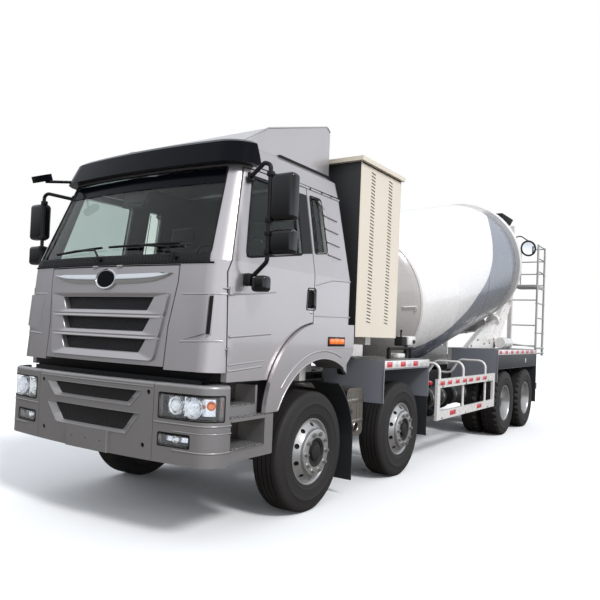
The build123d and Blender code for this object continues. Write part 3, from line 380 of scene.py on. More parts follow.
def cab_paint():
    """The silver lacquer on the cab's outside and dark vinyl lining on its inside, split by place; the
    lining is near-black, painted shade of the cab's inside added to its own tone.
    """
    material = aluminium_flake_lacquer()
    material.name = "cab_lacquer_and_shaded_lining"
    tree = material.node_tree
    shader = next(n for n in tree.nodes if n.type == "BSDF_PRINCIPLED")
    place = next(n for n in tree.nodes if n.type == "TEX_COORD").outputs["Object"]
    local = node(tree, "Mapping", {"Vector": place, "Location": (-FRONT_AXLE, 0, 0)}).outputs[0]
    split = node(tree, "SeparateXYZ", {"Vector": local}).outputs
    side = node(tree, "Math", {0: split["Y"]}, operation="ABSOLUTE").outputs[0]
    above = node(tree, "Math", {0: split["Z"], 1: LINING_LEVEL}, operation="SUBTRACT").outputs[0]
    above = node(tree, "Math", {0: above, 1: 0.0}, operation="MAXIMUM").outputs[0]
    inside = 1.0
    for x_share, y_share, lean, limit in LINED:
        total = node(tree, "Math", {0: split["X"], 1: x_share}, operation="MULTIPLY").outputs[0]
        for value, share in ((side, y_share), (above, lean)):
            total = node(tree, "Math", {0: value, 1: share, 2: total}, operation="MULTIPLY_ADD").outputs[0]
        within = node(tree, "Math", {0: total, 1: limit}, operation="LESS_THAN").outputs[0]
        inside = node(tree, "Math", {0: inside, 1: within}, operation="MULTIPLY").outputs[0]
    painted = shader.inputs["Base Color"].links[0].from_socket
    # Near-black inside the cab: the lining's own dark tone, darker still as painted shade of the cab's
    # inside.
    colour = node(tree, "Mix", {"Factor": inside, 6: painted, 7: linear("#17181A")}, data_type="RGBA")
    feed(shader, {"Base Color": colour.outputs[2]})
    for socket in ("Metallic", "Coat Weight"):
        outside = shader.inputs[socket].default_value
        shown = node(tree, "MapRange", {"Value": inside, "To Min": outside, "To Max": 0.0})
        feed(shader, {socket: shown.outputs[0]})
    return material


def satin_silver_lacquer():
    """The same silver sprayed on moulded plastic: a little duller, with a slight orange peel."""
    return surface("satin_silver_lacquer", "#8F8C8C", "#9A9797", 2.0, (0.36, 0.46), 0.04,
                   Metallic=0.65, Coat_Weight=0.5, Coat_Roughness=0.12)


def black_gloss_lacquer():
    """Blue-black piano lacquer on the visor: mirror-like, with faint orange peel."""
    return surface("black_gloss_lacquer", "#07080D", "#0B0D14", 6.0, (0.12, 0.2), 0.03,
                   Coat_Weight=0.03, Coat_Roughness=0.04, Specular_IOR_Level=0.06)


def moulded_black_abs():
    """Textured black ABS of mirror arms, wipers and frames: fine sparked grain, dull sheen."""
    return surface("moulded_black_abs", "#09090B", "#101013", 1.5, (0.42, 0.55), 0.10,
                   Specular_IOR_Level=0.3)


def polished_black_abs():
    """Smooth black ABS of the mirror housings: clear streaked highlights."""
    return surface("polished_black_abs", "#0A090B", "#110F11", 5.0, (0.12, 0.2), 0.02, Coat_Weight=0.2,
                   Specular_IOR_Level=0.35)


def black_epdm():
    """Black sheet rubber of flaps, seals and hopper rim: dull and slightly dusty."""
    return surface("black_epdm", "#0C0C0E", "#151517", 8.0, (0.6, 0.75), 0.3, Specular_IOR_Level=0.3)


def tyre_rubber():
    """Carbon-black tyre rubber with a brownish bloom and fine moulding marks."""
    return surface("tyre_rubber", "#1A1716", "#252120", 10.0, (0.62, 0.8), 0.4)


def wheel_enamel():
    """Silver enamel on pressed steel wheels: fine sparkle, even sheen."""
    return surface("wheel_enamel", "#A9A8A8", "#BAB9B8", 2.0, (0.28, 0.4), 0.05, Metallic=0.75)


def zinc_nuts():
    """Zinc-plated steel nuts and studs."""
    return surface("zinc_nuts", "#9A9A98", "#B7B6B2", 1.0, (0.25, 0.45), 0.04, Metallic=0.9)


def cast_iron():
    """Painted grey iron castings with a sandy skin, oil-darkened in the hollows."""
    return surface("cast_iron", "#1B1B1C", "#2B2A29", 4.0, (0.55, 0.75), 0.5, Metallic=0.3)


def white_enamel():
    """Warm white two-pack enamel on rolled steel: high gloss over a gentle ripple."""
    return surface("white_enamel", "#DDD9D6", "#E8E5E2", 40.0, (0.22, 0.32), 0.15,
                   Coat_Weight=0.5, Coat_Roughness=0.1)


def beige_powder_coat():
    """Beige powder coat on sheet steel: fine even orange peel, low gloss."""
    return surface("beige_powder_coat", "#DDD3C2", "#E6DCCB", 1.6, (0.42, 0.5), 0.12)


def grey_chassis_enamel():
    """Blue-grey enamel on pressed mudguard sheet, a little scuffed."""
    return surface("grey_chassis_enamel", "#7A7D84", "#888B92", 12.0, (0.35, 0.5), 0.1)


def dark_chassis_enamel():
    """Dark grey sheet behind the mudguard's edge."""
    return surface("dark_chassis_enamel", "#232528", "#303235", 12.0, (0.45, 0.6), 0.1)


def black_chassis_paint():
    """Black paint on rolled frame steel, dull with road dust."""
    return surface("black_chassis_paint", "#141415", "#222223", 9.0, (0.45, 0.62), 0.25)


def brushed_stainless():
    """Brushed stainless sheet: long fine scratches along the truck."""
    return surface("brushed_stainless", "#8D8781", "#A9A39C", 0.9, (0.24, 0.4), 0.03, (0.05, 1, 1),
                   Metallic=1.0)


def hot_dip_zinc():
    """Galvanised tube: pale grey with soft spangle."""
    return surface("hot_dip_zinc", "#A5A5A3", "#BDBCB8", 14.0, (0.4, 0.55), 0.05, Metallic=0.55)


def chrome_plate():
    """Chrome plate: near mirror."""
    return surface("chrome_plate", "#D4D6D8", "#E2E4E6", 20.0, (0.05, 0.1), Metallic=1.0)


def clear_polycarbonate():
    """Clear lamp lens with faint moulded flutes."""
    return surface("clear_polycarbonate", "#F4F7FA", "#FFFFFF", 6.0, (0.02, 0.06), 0.05,
                   Transmission_Weight=1.0, IOR=1.58, Coat_Weight=0.2)


def amber_polycarbonate():
    """Amber lens over a reflector: deep orange with bright facets."""
    return surface("amber_polycarbonate", "#E0560E", "#FF8A1E", 9.0, (0.08, 0.2), 0.4,
                   Coat_Weight=1.0, Emission_Strength=0.15, Emission_Color=linear("#FF6A10"))


def red_reflector():
    """Red prismatic sheeting: fine honeycomb sparkle under a smooth face."""
    return surface("red_reflector", "#C0182A", "#D8303C", 3.0, (0.2, 0.4), 0.05, Coat_Weight=0.6)


def silver_reflector():
    """Silver-white prismatic sheeting."""
    return surface("silver_reflector", "#C9C9C9", "#E4E4E4", 3.0, (0.2, 0.4), 0.05,
                   Metallic=0.3, Coat_Weight=0.6)


def lamp_reflector():
    """Vacuum-metallised bowl: bright, broken up by facets."""
    return surface("lamp_reflector", "#B9BFC8", "#F2F4F6", 16.0, (0.06, 0.18), 2.0, Metallic=1.0)


def laminated_glass(name, tone, paler):
    """Green-grey laminated glass: clear, with a smooth reflection."""
    material, tree, place, shader = blank(name)
    cloud = node(tree, "TexNoise", {"Vector": place, "Scale": 2.0, "Detail": 2.0}).outputs[0]
    colour = node(tree, "Mix", {"Factor": cloud, 6: linear(tone), 7: linear(paler)}, data_type="RGBA")
    feed(shader, {"Base Color": colour.outputs[2], "Roughness": 0.02, "Transmission Weight": 1.0,
                  "IOR": 1.25})
    return material


def woven_seat_cloth():
    """Dark woven seat cloth with a coarse basket weave."""
    material, tree, place, shader = blank("woven_seat_cloth")
    warp, weft = (node(tree, "TexWave", {"Vector": place, "Scale": 60.0, "Distortion": 1.0},
                       bands_direction=way).outputs[1] for way in "YZ")
    weave = node(tree, "Math", {0: warp, 1: weft}, operation="MULTIPLY").outputs[0]
    tones = {"Factor": weave, 6: linear("#17181C"), 7: linear("#33353B")}
    colour = node(tree, "Mix", tones, data_type="RGBA")
    bump = node(tree, "Bump", {"Height": weave, "Strength": 0.6, "Distance": 0.001})
    feed(shader, {"Base Color": colour.outputs[2], "Roughness": 0.9, "Sheen Weight": 0.3,
                  "Normal": bump.outputs[0]})
    return material


def tread_plate():
    """Pressed aluminium tread: bright worn teeth on a dull ground."""
    material, tree, place, shader = blank("tread_plate")
    turned = node(tree, "Mapping", {"Vector": place, "Rotation": (0, 0, math.radians(45)),
                                    "Scale": (1, 1, 0.2)})
    teeth = node(tree, "TexVoronoi", {"Vector": turned.outputs[0], "Scale": 45.0}, feature="F1").outputs[0]
    spread = node(tree, "MapRange", {"Value": teeth, "From Min": 0.2, "From Max": 0.6}).outputs[0]
    tones = {"Factor": spread, 6: linear("#B9B8B6"), 7: linear("#6E6D6C")}
    colour = node(tree, "Mix", tones, data_type="RGBA")
    bump = node(tree, "Bump", {"Height": spread, "Strength": 0.8, "Distance": 0.004}, invert=True)
    feed(shader, {"Base Color": colour.outputs[2], "Roughness": spread, "Metallic": 0.8,
                  "Normal": bump.outputs[0]})
    return material


def grille_mesh():
    """Black hexagonal mesh: struts catch the light, holes painted near-black as the shade behind the mesh.
    25 mm cells.
    """
    material, tree, place, shader = blank("grille_mesh")
    flat = node(tree, "Mapping", {"Vector": place, "Scale": (0.0, 1.0, 1.6)}).outputs[0]
    cells = node(tree, "TexVoronoi", {"Vector": flat, "Scale": 40.0, "Randomness": 0.0},
                 feature="DISTANCE_TO_EDGE").outputs[0]
    strut = node(tree, "MapRange", {"Value": cells, "From Min": 0.06, "From Max": 0.16,
                                    "To Min": 1.0, "To Max": 0.0}).outputs[0]
    # Holes near-black as painted shade behind the mesh, struts in the plastic's own black.
    tones = {"Factor": strut, 6: linear("#050506"), 7: linear("#1D1D20")}
    colour = node(tree, "Mix", tones, data_type="RGBA")
    bump = node(tree, "Bump", {"Height": strut, "Strength": 1.0, "Distance": 0.006})
    feed(shader, {"Base Color": colour.outputs[2], "Roughness": 0.45, "Normal": bump.outputs[0]})
    return material


# ---------------------------------------------------------------- camera and studio
def set_camera():
    """Standing eye height, off the left front corner."""
    eye = bpy.data.cameras.new("eye")
    eye.sensor_width = 36
    eye.lens = 37.47
    eye.shift_x, eye.shift_y = -0.0048, 0.0257
    camera = bpy.data.objects.new("camera", eye)
    bpy.context.scene.collection.objects.link(camera)
    yaw, pitch, roll = (math.radians(angle) for angle in (33.4548, 1.4607, 2.3459))
    turn = Matrix.Rotation(math.pi / 2 + yaw, 4, "Z") @ Matrix.Rotation(math.pi / 2 + pitch, 4, "X")
    camera.matrix_world = Matrix.Translation((8.4454, 4.1988, 1.6208)) @ turn @ Matrix.Rotation(roll, 4, "Z")
    bpy.context.scene.camera = camera


def seen_directly(tree):
    """1 on rays from the camera and on those that glass sends on, 0 on light that falls on the truck."""
    path = tree.nodes.new("ShaderNodeLightPath").outputs
    return node(tree, "Math", {0: path["Is Camera Ray"], 1: path["Is Transmission Ray"]},
                operation="MAXIMUM").outputs[0]


def sky_strength(tree):
    """Strength of the surroundings by direction: dim at the horizon, bright above, brighter on the left."""
    looked = tree.nodes.new("ShaderNodeTexCoord").outputs["Generated"]
    way = node(tree, "SeparateXYZ", {"Vector": looked}).outputs
    horizon = node(tree, "MapRange", {"Value": way["Y"], "From Min": 0.0, "From Max": 0.50,
                                      "To Min": 0.10, "To Max": 1.85}).outputs[0]
    return node(tree, "MapRange", {"Value": way["Z"], "From Min": 0.0, "From Max": 0.34,
                                   "To Min": horizon, "To Max": 1.0}).outputs[0]


LAMPS = (  # name, strength, angle it fills, direction it shines in
    ("key", 1.9, 12, (-0.25, -0.72, -0.75)),
    ("front_fill", 0.22, 60, (-0.9, -0.1, -0.35)),
)


def light_studio():
    """Open-yard light behind a white backdrop, a broad key from the left and a weak lamp from the front."""
    world = bpy.data.worlds.new("studio")
    bpy.context.scene.world = world
    world.use_nodes = True
    tree = world.node_tree
    tree.nodes.clear()
    ambient = node(tree, "Background", {"Color": linear("#EEF3FA"), "Strength": sky_strength(tree)})
    white = node(tree, "Background", {"Color": (1, 1, 1, 1), "Strength": 1.0})
    mixed = node(tree, "MixShader", {0: seen_directly(tree), 1: ambient.outputs[0], 2: white.outputs[0]})
    node(tree, "OutputWorld", {"Surface": mixed.outputs[0]})
    for name, power, spread, towards in LAMPS:
        lamp = bpy.data.lights.new(name, "SUN")
        lamp.energy = power
        lamp.angle = math.radians(spread)
        held = bpy.data.objects.new(name, lamp)
        bpy.context.scene.collection.objects.link(held)
        held.rotation_mode = "QUATERNION"
        held.rotation_quaternion = Vector(towards).to_track_quat("-Z", "Y")
    bpy.context.scene.view_settings.view_transform = "Standard"


def lay_floor():
    """Pale floor that looks white and keeps the truck's shadow, but throws little light back up."""
    deselect()
    bpy.ops.mesh.primitive_circle_add(vertices=64, radius=70, fill_type="NGON")
    floor = bpy.context.object
    floor.name = "studio_floor"
    material, tree, place, shader = blank("studio_floor")
    grain = node(tree, "TexNoise", {"Vector": place, "Scale": 0.4, "Detail": 2.0}).outputs[0]
    seen = node(tree, "Mix", {"Factor": grain, 6: linear("#F8F8F8"), 7: linear("#FDFDFD")},
                data_type="RGBA").outputs[2]
    colour = node(tree, "Mix", {"Factor": seen_directly(tree), 6: linear("#7C7873"), 7: seen},
                  data_type="RGBA")
    feed(shader, {"Base Color": colour.outputs[2], "Roughness": 0.9, "Specular IOR Level": 0.1})
    paint(floor, material)


# ---------------------------------------------------------------- finishes in use
SILVER = aluminium_flake_lacquer()
CAB_PAINT = cab_paint()
SATIN_SILVER = satin_silver_lacquer()
GLOSS_BLACK = black_gloss_lacquer()
ABS = moulded_black_abs()
POLISHED_ABS = polished_black_abs()
RUBBER = black_epdm()
TYRE = tyre_rubber()
WHEEL = wheel_enamel()
NUTS = zinc_nuts()
CAST = cast_iron()
WHITE = white_enamel()
BEIGE = beige_powder_coat()
GREY = grey_chassis_enamel()
DARK_GREY = dark_chassis_enamel()
BLACK = black_chassis_paint()
STAINLESS = brushed_stainless()
ZINC = hot_dip_zinc()
CHROME = chrome_plate()
LENS = clear_polycarbonate()
AMBER = amber_polycarbonate()
RED = red_reflector()
PRISM = silver_reflector()
REFLECTOR = lamp_reflector()
SCREEN = laminated_glass("laminated_screen", "#D9E3DF", "#E4ECE8")
SIDE_GLASS = laminated_glass("tempered_side_glass", "#AEBBB9", "#BCC8C6")
CLOTH = woven_seat_cloth()
TREAD = tread_plate()
MESH = grille_mesh()
FINISHES = (  # each finish and the CAD nodes that have it
    (CAB_PAINT, "cab_shell door_left door_right"),
    (SILVER, "corner_panels front_lid wheel_arches roof_fairing"),
    (SATIN_SILVER, "front_bumper cab_steps"),
    (GLOSS_BLACK, "sun_visor"),
    (POLISHED_ABS, "mirror_left mirror_right"),
    (SCREEN, "windscreen"),
    (SIDE_GLASS, "door_glass_left door_glass_right"),
    (LENS, "front_lamps"),
    (ABS, "dashboard"),
    (CLOTH, "cab_seats"),
    (BEIGE, "equipment_cabinet"),
    (WHITE, "front_stands water_tank rear_pedestal hoppers side_guards mixing_drum"),
    (WHITE, "discharge_chute chute_bracket"),
    (ZINC, "access_ladder"),
    (GREY, "side_decks"),
    (DARK_GREY, "mudguards"),
    (BLACK, "frame_rails cross_members underrun_bar side_tanks drum_drive"),
    (CAST, "steer_axle_beams drive_axles leaf_springs engine_block"),
    (CAST, "knuckle_1l knuckle_1r knuckle_2l knuckle_2r"),
    (STAINLESS, "silencer"),
    (TYRE, "tyre_1l tyre_1r tyre_2l tyre_2r tyres_3l tyres_3r tyres_4l tyres_4r"),
    (WHEEL, "rim_1l rim_1r rim_2l rim_2r rims_3l rims_3r rims_4l rims_4r"),
)


def dress_nodes():
    """Give every CAD node its finish."""
    for material, names in FINISHES:
        for name in names.split():
            paint(NODES[name], material)


# ---------------------------------------------------------------- wheels
TWIN_REACH = 0.1725            # from the middle of a twin pair to a tyre's middle plane
WHEEL_STEPS = 90
STUDS = 10
STUD_CIRCLE = 0.1675
HAND_HOLES = 10
HAND_HOLE_DEPTH = 0.060


def both_flanks(half):
    """Outline of a tyre or rim from its outboard half, the inboard half being its mirror image."""
    return half + [(-along, radius) for along, radius in reversed(half)]


TYRE_HALF = [
    (.018, .540), (.018, .526), (.028, .526), (.028, .540), (.063, .540), (.063, .526), (.073, .526),
    (.073, .540), (.106, .5392), (.116, .534), (.126, .523), (.133, .507), (.139, .478), (.1440, .430),
    (.1458, .4275), (.1440, .4245), (.1430, .390), (.1385, .346), (.1405, .342), (.1370, .337),
    (.128, .304), (.118, .295), (.112, .2865)]
STEER_RIM = [
    (.1276, .298), (.1276, .288), (.122, .281), (.112, .2745), (.104, .270), (.107, .264), (.150, .223),
    (.154, .2175), (.151, .213), (.154, .2105), (.178, .2085), (.184, .205), (.186, .200), (.186, .130),
    (.172, .130), (.172, .196), (.166, .199), (.141, .203), (.138, .214), (.097, .253), (.092, .262),
    (.060, .267), (.020, .262), (-.120, .272), (-.1276, .284), (-.1276, .298), (-.116, .298),
    (-.116, .2865), (.116, .2865), (.116, .298)]
TWIN_HALF = [
    (.045, .298), (.056, .298), (.056, .2865), (.289, .2865), (.289, .298), (.300, .298), (.300, .286),
    (.292, .279), (.280, .272), (.070, .266), (.036, .252), (.018, .236), (.014, .222), (.014, .112)]
# A near-black ring behind the disc: the drum and brake seen through the hand holes, their darkness painted
# shade.
STEER_SHADE = [(.090, .250), (.130, .213), (.134, .209), (.129, .206), (.086, .245)]
STEER_HUB = [(.060, 0), (.060, .129), (.178, .129), (.182, .124), (.178, .106), (.168, .100), (.168, .074),
             (.186, .070), (.190, .062), (.190, 0)]
TWIN_HUB = [(-.010, 0), (-.010, .150), (.110, .150), (.122, .144), (.150, .138), (.156, .126), (.196, .118),
            (.206, .108), (.206, .040), (.210, .034), (.210, 0)]


def around(centre, side, along, radius, angle):
    """Place on a wheel: out along its axle, and at a radius and angle."""
    return centre + Vector((math.cos(angle) * radius, side * along, math.sin(angle) * radius))


LUG_RADIUS = 0.527             # the lugs of a drive tyre lie outside this
LUG_BAND = 0.076               # and this far from the tyre's middle plane


def tyre_piece(centre, side, offset, lugs):
    """Radial tyre with four grooves and a rim protector; drive tyres have notched shoulders."""
    half = [(offset + along, radius) for along, radius in TYRE_HALF]
    other = [(offset - along, radius) for along, radius in reversed(TYRE_HALF)]
    tyre = lathe(half + other, centre, (0, side, 0), TYRE, WHEEL_STEPS, 30)
    if lugs:
        edit(tyre)
        bpy.ops.mesh.select_all(action="DESELECT")
        bpy.ops.object.mode_set(mode="OBJECT")
        for face in tyre.data.polygons:
            out = face.center - centre
            turn = int((math.atan2(out.z, out.x) / math.tau + 1) * WHEEL_STEPS + 0.5)
            shoulder = math.hypot(out.x, out.z) > LUG_RADIUS and abs(out.y * side - offset) > LUG_BAND
            face.select = shoulder and turn % 3 == 0
        bpy.ops.object.mode_set(mode="EDIT")
        bpy.ops.mesh.select_mode(type="FACE")
        bpy.ops.mesh.extrude_region_move()
        bpy.ops.transform.shrink_fatten(value=-0.011)
        done()
    return tyre


def hex_nut(centre, side, along, angle):
    """Flanged hexagon nut with the stud's end standing out of it."""
    place = around(centre, side, along, STUD_CIRCLE, angle)
    parts = []
    for corners, radius, start, end in ((12, .021, 0, .006), (6, .018, .006, .022), (8, .010, .022, .030)):
        deselect()
        bpy.ops.mesh.primitive_cylinder_add(vertices=corners, radius=radius, depth=end - start,
                                            rotation=(math.pi / 2, 0, 0),
                                            location=place + Vector((0, side * (start + end) / 2, 0)))
        parts.append(settle(bpy.context.object))
    return smooth(paint(join("nut", parts), NUTS), 25)


def punch(rim, centre, side, along, radius, size, splay):
    """Punch the ring of hand holes through the wheel disc; splay turns them from the axle outwards."""
    cutters = []
    for i in range(HAND_HOLES):
        angle = (i + 0.5) * math.tau / HAND_HOLES
        aim = Vector((math.cos(angle) * splay[0], side * splay[1], math.sin(angle) * splay[0])).normalized()
        deselect()
        bpy.ops.mesh.primitive_cylinder_add(vertices=20, radius=size, depth=HAND_HOLE_DEPTH,
                                            location=around(centre, side, along, radius, angle),
                                            rotation=aim.to_track_quat("Z", "Y").to_euler())
        cutters.append(settle(bpy.context.object))
    return smooth(carve(rim, cutters), 40)


def rim_piece(centre, side, twin):
    """Pressed wheel disc and barrel with hand holes and nuts."""
    axle = (0, side, 0)
    if twin:
        rim = lathe(both_flanks(TWIN_HALF), centre, axle, WHEEL, WHEEL_STEPS, 30)
        punch(rim, centre, side, 0.0, 0.197, 0.019, (0, 1))
        face = 0.014
    else:
        rim = lathe(STEER_RIM, centre, axle, WHEEL, WHEEL_STEPS, 30)
        punch(rim, centre, side, 0.128, 0.243, 0.0235, (.72, .69))
        # Near-black ring behind the hand holes: painted shade.
        rim = join("rim", [rim, lathe(STEER_SHADE, centre, axle, RUBBER, WHEEL_STEPS, 30)])
        face = 0.186
    nuts = [hex_nut(centre, side, face, i * math.tau / STUDS) for i in range(STUDS)]
    return join("wheel", [rim, *nuts])


def wheels():
    """Steered wheels on two axles and twin wheels on two, copied from the first of each kind."""
    first = {}
    for end in ("1l", "1r", "2l", "2r", "3l", "3r", "4l", "4r"):
        twin = end[0] in "34"
        side = 1 if end[1] == "l" else -1
        tyre_node, rim_node = ("tyres_" + end, "rims_" + end) if twin else ("tyre_" + end, "rim_" + end)
        centre = middle(tyre_node)
        if twin in first:
            *pieces, origin = first[twin]
            move = Matrix.Translation(centre) @ Matrix.Scale(side, 4, LEFT) @ Matrix.Translation(-origin)
            tyres, rim, hub = (copy_of(piece, move) for piece in pieces)
        else:
            offsets = (TWIN_REACH, -TWIN_REACH) if twin else (0.0,)
            tyres = join("tyres", [tyre_piece(centre, side, offset, twin) for offset in offsets])
            rim = rim_piece(centre, side, twin)
            hub = lathe(TWIN_HUB if twin else STEER_HUB, centre, (0, side, 0), CAST, 48, 30)
            first[twin] = (tyres, rim, hub, centre)
        fit("rubber_" + end, [tyres], "wheel_" + end, (tyre_node,))
        fit("wheel_disc_" + end, [rim], "wheel_" + end, (rim_node,))
        fit("hub_cap_" + end, [hub], "wheel_" + end)


# ---------------------------------------------------------------- drum
DRUM_BASE = at(-2.870, 0, 2.090)
DRUM_TILT = math.radians(13.2)
DRUM_AXIS = Vector((-math.cos(DRUM_TILT), 0, math.sin(DRUM_TILT)))
DRUM_OUTLINE = ((-.450, .500), (0, 1.000), (1.000, 1.150), (3.800, 1.150), (4.420, 1.050), (5.300, .600))
DRUM_LENGTH = 5.300
DRUM_WALL = 0.010
DRUM_WELDS = ((0, 0.998), (1.0, 1.147), (2.4, 1.1495), (3.8, 1.147))
TRACK_RING = ((4.280, 1.045), (4.280, 1.150), (4.290, 1.160), (4.390, 1.160), (4.400, 1.150), (4.400, 1.045))
DRIVE_FLANGE = ((-.51, 0), (-.51, .115), (-.505, .12), (-.45, .12), (-.445, .20), (-.449, .20), (-.449, 0))
MOUTH_LIP = ((5.26, .606), (5.285, .626), (5.30, .622), (5.30, .598), (5.27, .598))
DRUM_TONES = (  # white, band, and the front head's grey, which is painted shade
    ("#E9E6E4", "#F2F0EF"), ("#6B707C", "#747986"), ("#B8B3B0", "#C0BCB9"))
# Front edge of the dark band, as (angle up from the truck's left side, place along the axis).
BAND_EDGE = ((-45, 0.0), (-41, .35), (-36, .70), (-28, 1.02), (-21, 1.48), (-12, 1.86), (-3, 2.27),
             (8, 2.59), (22, 2.91), (37, 3.30), (57, 4.02), (63, 4.28))


def drum_enamel():
    """Two-pack enamel on rolled plate: white, with a blue-grey band sprayed in a sweep round the side; the
    forward-facing front head is painted grey as shade.
    """
    material, tree, place, shader = blank("drum_enamel")
    centred = node(tree, "Mapping", {"Vector": place, "Location": -DRUM_BASE}).outputs[0]
    turned = node(tree, "Mapping", {"Vector": centred, "Rotation": (0, -DRUM_TILT, 0)}).outputs[0]
    split = node(tree, "SeparateXYZ", {"Vector": turned}).outputs
    along = node(tree, "Math", {0: split["X"], 1: -1.0}, operation="MULTIPLY").outputs[0]
    width = node(tree, "Math", {0: split["Y"]}, operation="ABSOLUTE").outputs[0]
    angle = node(tree, "Math", {0: split["Z"], 1: width}, operation="ARCTAN2").outputs[0]
    turn = node(tree, "MapRange", {"Value": angle, "From Min": -math.pi / 2, "From Max": math.pi / 2})
    edge = node(tree, "FloatCurve", {"Value": turn.outputs[0]})
    points = edge.mapping.curves[0].points
    points[0].location, points[1].location = (0, 0), (1, BAND_EDGE[-1][1] / DRUM_LENGTH)
    for degrees, spot in BAND_EDGE:
        points.new((degrees + 90) / 180, spot / DRUM_LENGTH)
    edge.mapping.update()
    front = node(tree, "Math", {0: edge.outputs[0], 1: DRUM_LENGTH}, operation="MULTIPLY").outputs[0]
    behind = node(tree, "Math", {0: along, 1: front}, operation="GREATER_THAN").outputs[0]
    # The front head greyed: painted shade on the forward-facing head.
    on_shaded_head = node(tree, "Math", {0: along, 1: 0.004}, operation="LESS_THAN").outputs[0]
    cloud = node(tree, "TexNoise", {"Vector": place, "Scale": 3.0, "Detail": 4.0}).outputs[0]
    whole, band, head = (node(tree, "Mix", {"Factor": cloud, 6: linear(tone), 7: linear(paler)},
                              data_type="RGBA").outputs[2] for tone, paler in DRUM_TONES)
    for share, added in ((behind, band), (on_shaded_head, head)):
        whole = node(tree, "Mix", {"Factor": share, 6: whole, 7: added}, data_type="RGBA").outputs[2]
    peel = node(tree, "TexNoise", {"Vector": place, "Scale": 9.0, "Detail": 3.0}).outputs[0]
    gloss = node(tree, "MapRange", {"Value": peel, "To Min": 0.22, "To Max": 0.34})
    bump = node(tree, "Bump", {"Height": peel, "Strength": 0.2, "Distance": 0.0008})
    feed(shader, {"Base Color": whole, "Roughness": gloss.outputs[0], "Normal": bump.outputs[0],
                  "Coat Weight": 0.5, "Coat Roughness": 0.08})
    return material


def drum_place(along, angle, radius):
    """Place on the drum: along its axis, and at an angle up from the truck's left."""
    up = Vector((math.sin(DRUM_TILT), 0, math.cos(DRUM_TILT)))
    left = Vector((0, 1, 0))
    return DRUM_BASE + DRUM_AXIS * along + (left * math.cos(angle) + up * math.sin(angle)) * radius


def drum():
    """Rolled drum with soft bends, weld beads, track ring, drive flange and mouth lip."""
    enamel = drum_enamel()
    skin = [(p.x, p.y) for p in rounded([(s, r, 0) for s, r in DRUM_OUTLINE], 0.35, 6)]
    inner = [(s, r - DRUM_WALL) for s, r in reversed(skin)]
    inner[-1] = (-.440, .490)
    turned = [([(-.450, 0), *skin, *inner, (-.440, 0)], enamel, 128, 20)]
    for s, r in DRUM_WELDS:
        weld = [(s - .006, r), (s - .003, r + .0035), (s + .003, r + .0035), (s + .006, r)]
        turned.append((weld, enamel, 128, 50))
    turned += [(TRACK_RING, WHITE, 128, 30), (DRIVE_FLANGE, CAST, 48, 30), (MOUTH_LIP, WHITE, 128, 40)]
    parts = [lathe(profile, DRUM_BASE, DRUM_AXIS, *look) for profile, *look in turned]
    fit("rolled_drum", parts, "drum", ("mixing_drum",))


# ---------------------------------------------------------------- shapes on the cab's skin
CAB_PROFILE = ((1.210, 1.470, 1.200), (2.130, 1.390, 1.200), (2.920, 1.100, 1.065), (3.100, 1.020, 1.020),
               (3.160, .940, .930))     # height, middle of the face, half width
CAB_BOW = 0.085
CAB_CORNER = 0.190


def cab_level(z):
    """Middle of the cab's face and its half width at a height."""
    for low, high in zip(CAB_PROFILE, CAB_PROFILE[1:]):
        if z <= high[0]:
            break
    t = (z - low[0]) / (high[0] - low[0])
    return low[1] + (high[1] - low[1]) * t, low[2] + (high[2] - low[2]) * t


def cab_front(y, z, lift=0.0):
    """Place on the cab's bowed face, lifted off it."""
    face, half = cab_level(z)
    reach = (half ** 2 + CAB_BOW ** 2) / (2 * CAB_BOW)
    start = half - CAB_CORNER
    flat = min(abs(y), start)
    x = face - reach + math.sqrt(reach ** 2 - flat ** 2)
    if abs(y) > start:
        x += math.sqrt(max(0, CAB_CORNER ** 2 - (abs(y) - start) ** 2)) - CAB_CORNER
    return at(x + lift, y, z)


def cab_side(x, z, lift=0.0):
    """Place on the cab's left side, lifted off it."""
    return at(x, cab_level(z)[1] + lift, z)


def hoop(loops, material, angle=35):
    """Closed ring through matching loops of places; the loops run round its section."""
    deselect()
    bpy.ops.mesh.primitive_torus_add(major_segments=len(loops[0]), minor_segments=len(loops))
    piece = bpy.context.object
    for i, vertex in enumerate(piece.data.vertices):
        vertex.co = loops[i % len(loops)][i // len(loops)]
    edit(piece)
    bpy.ops.mesh.normals_make_consistent(inside=False)
    done()
    return smooth(paint(piece, material), angle)


def sheet(rows, thickness, material, angle=35):
    """Skin through rows of places, thickened equally both ways."""
    deselect()
    bpy.ops.mesh.primitive_grid_add(x_subdivisions=len(rows[0]) - 1, y_subdivisions=len(rows) - 1)
    piece = bpy.context.object
    places = [place for row in rows for place in row]
    assert len(piece.data.vertices) == len(places)
    for vertex, place in zip(piece.data.vertices, places):
        vertex.co = place
    modify(piece, "SOLIDIFY", thickness=thickness, offset=0)
    edit(piece)
    bpy.ops.mesh.normals_make_consistent(inside=False)
    done()
    return smooth(paint(piece, material), angle)


def steps(start, end, count):
    """Evenly spaced values, both ends included."""
    return [start + (end - start) * i / (count - 1) for i in range(count)]


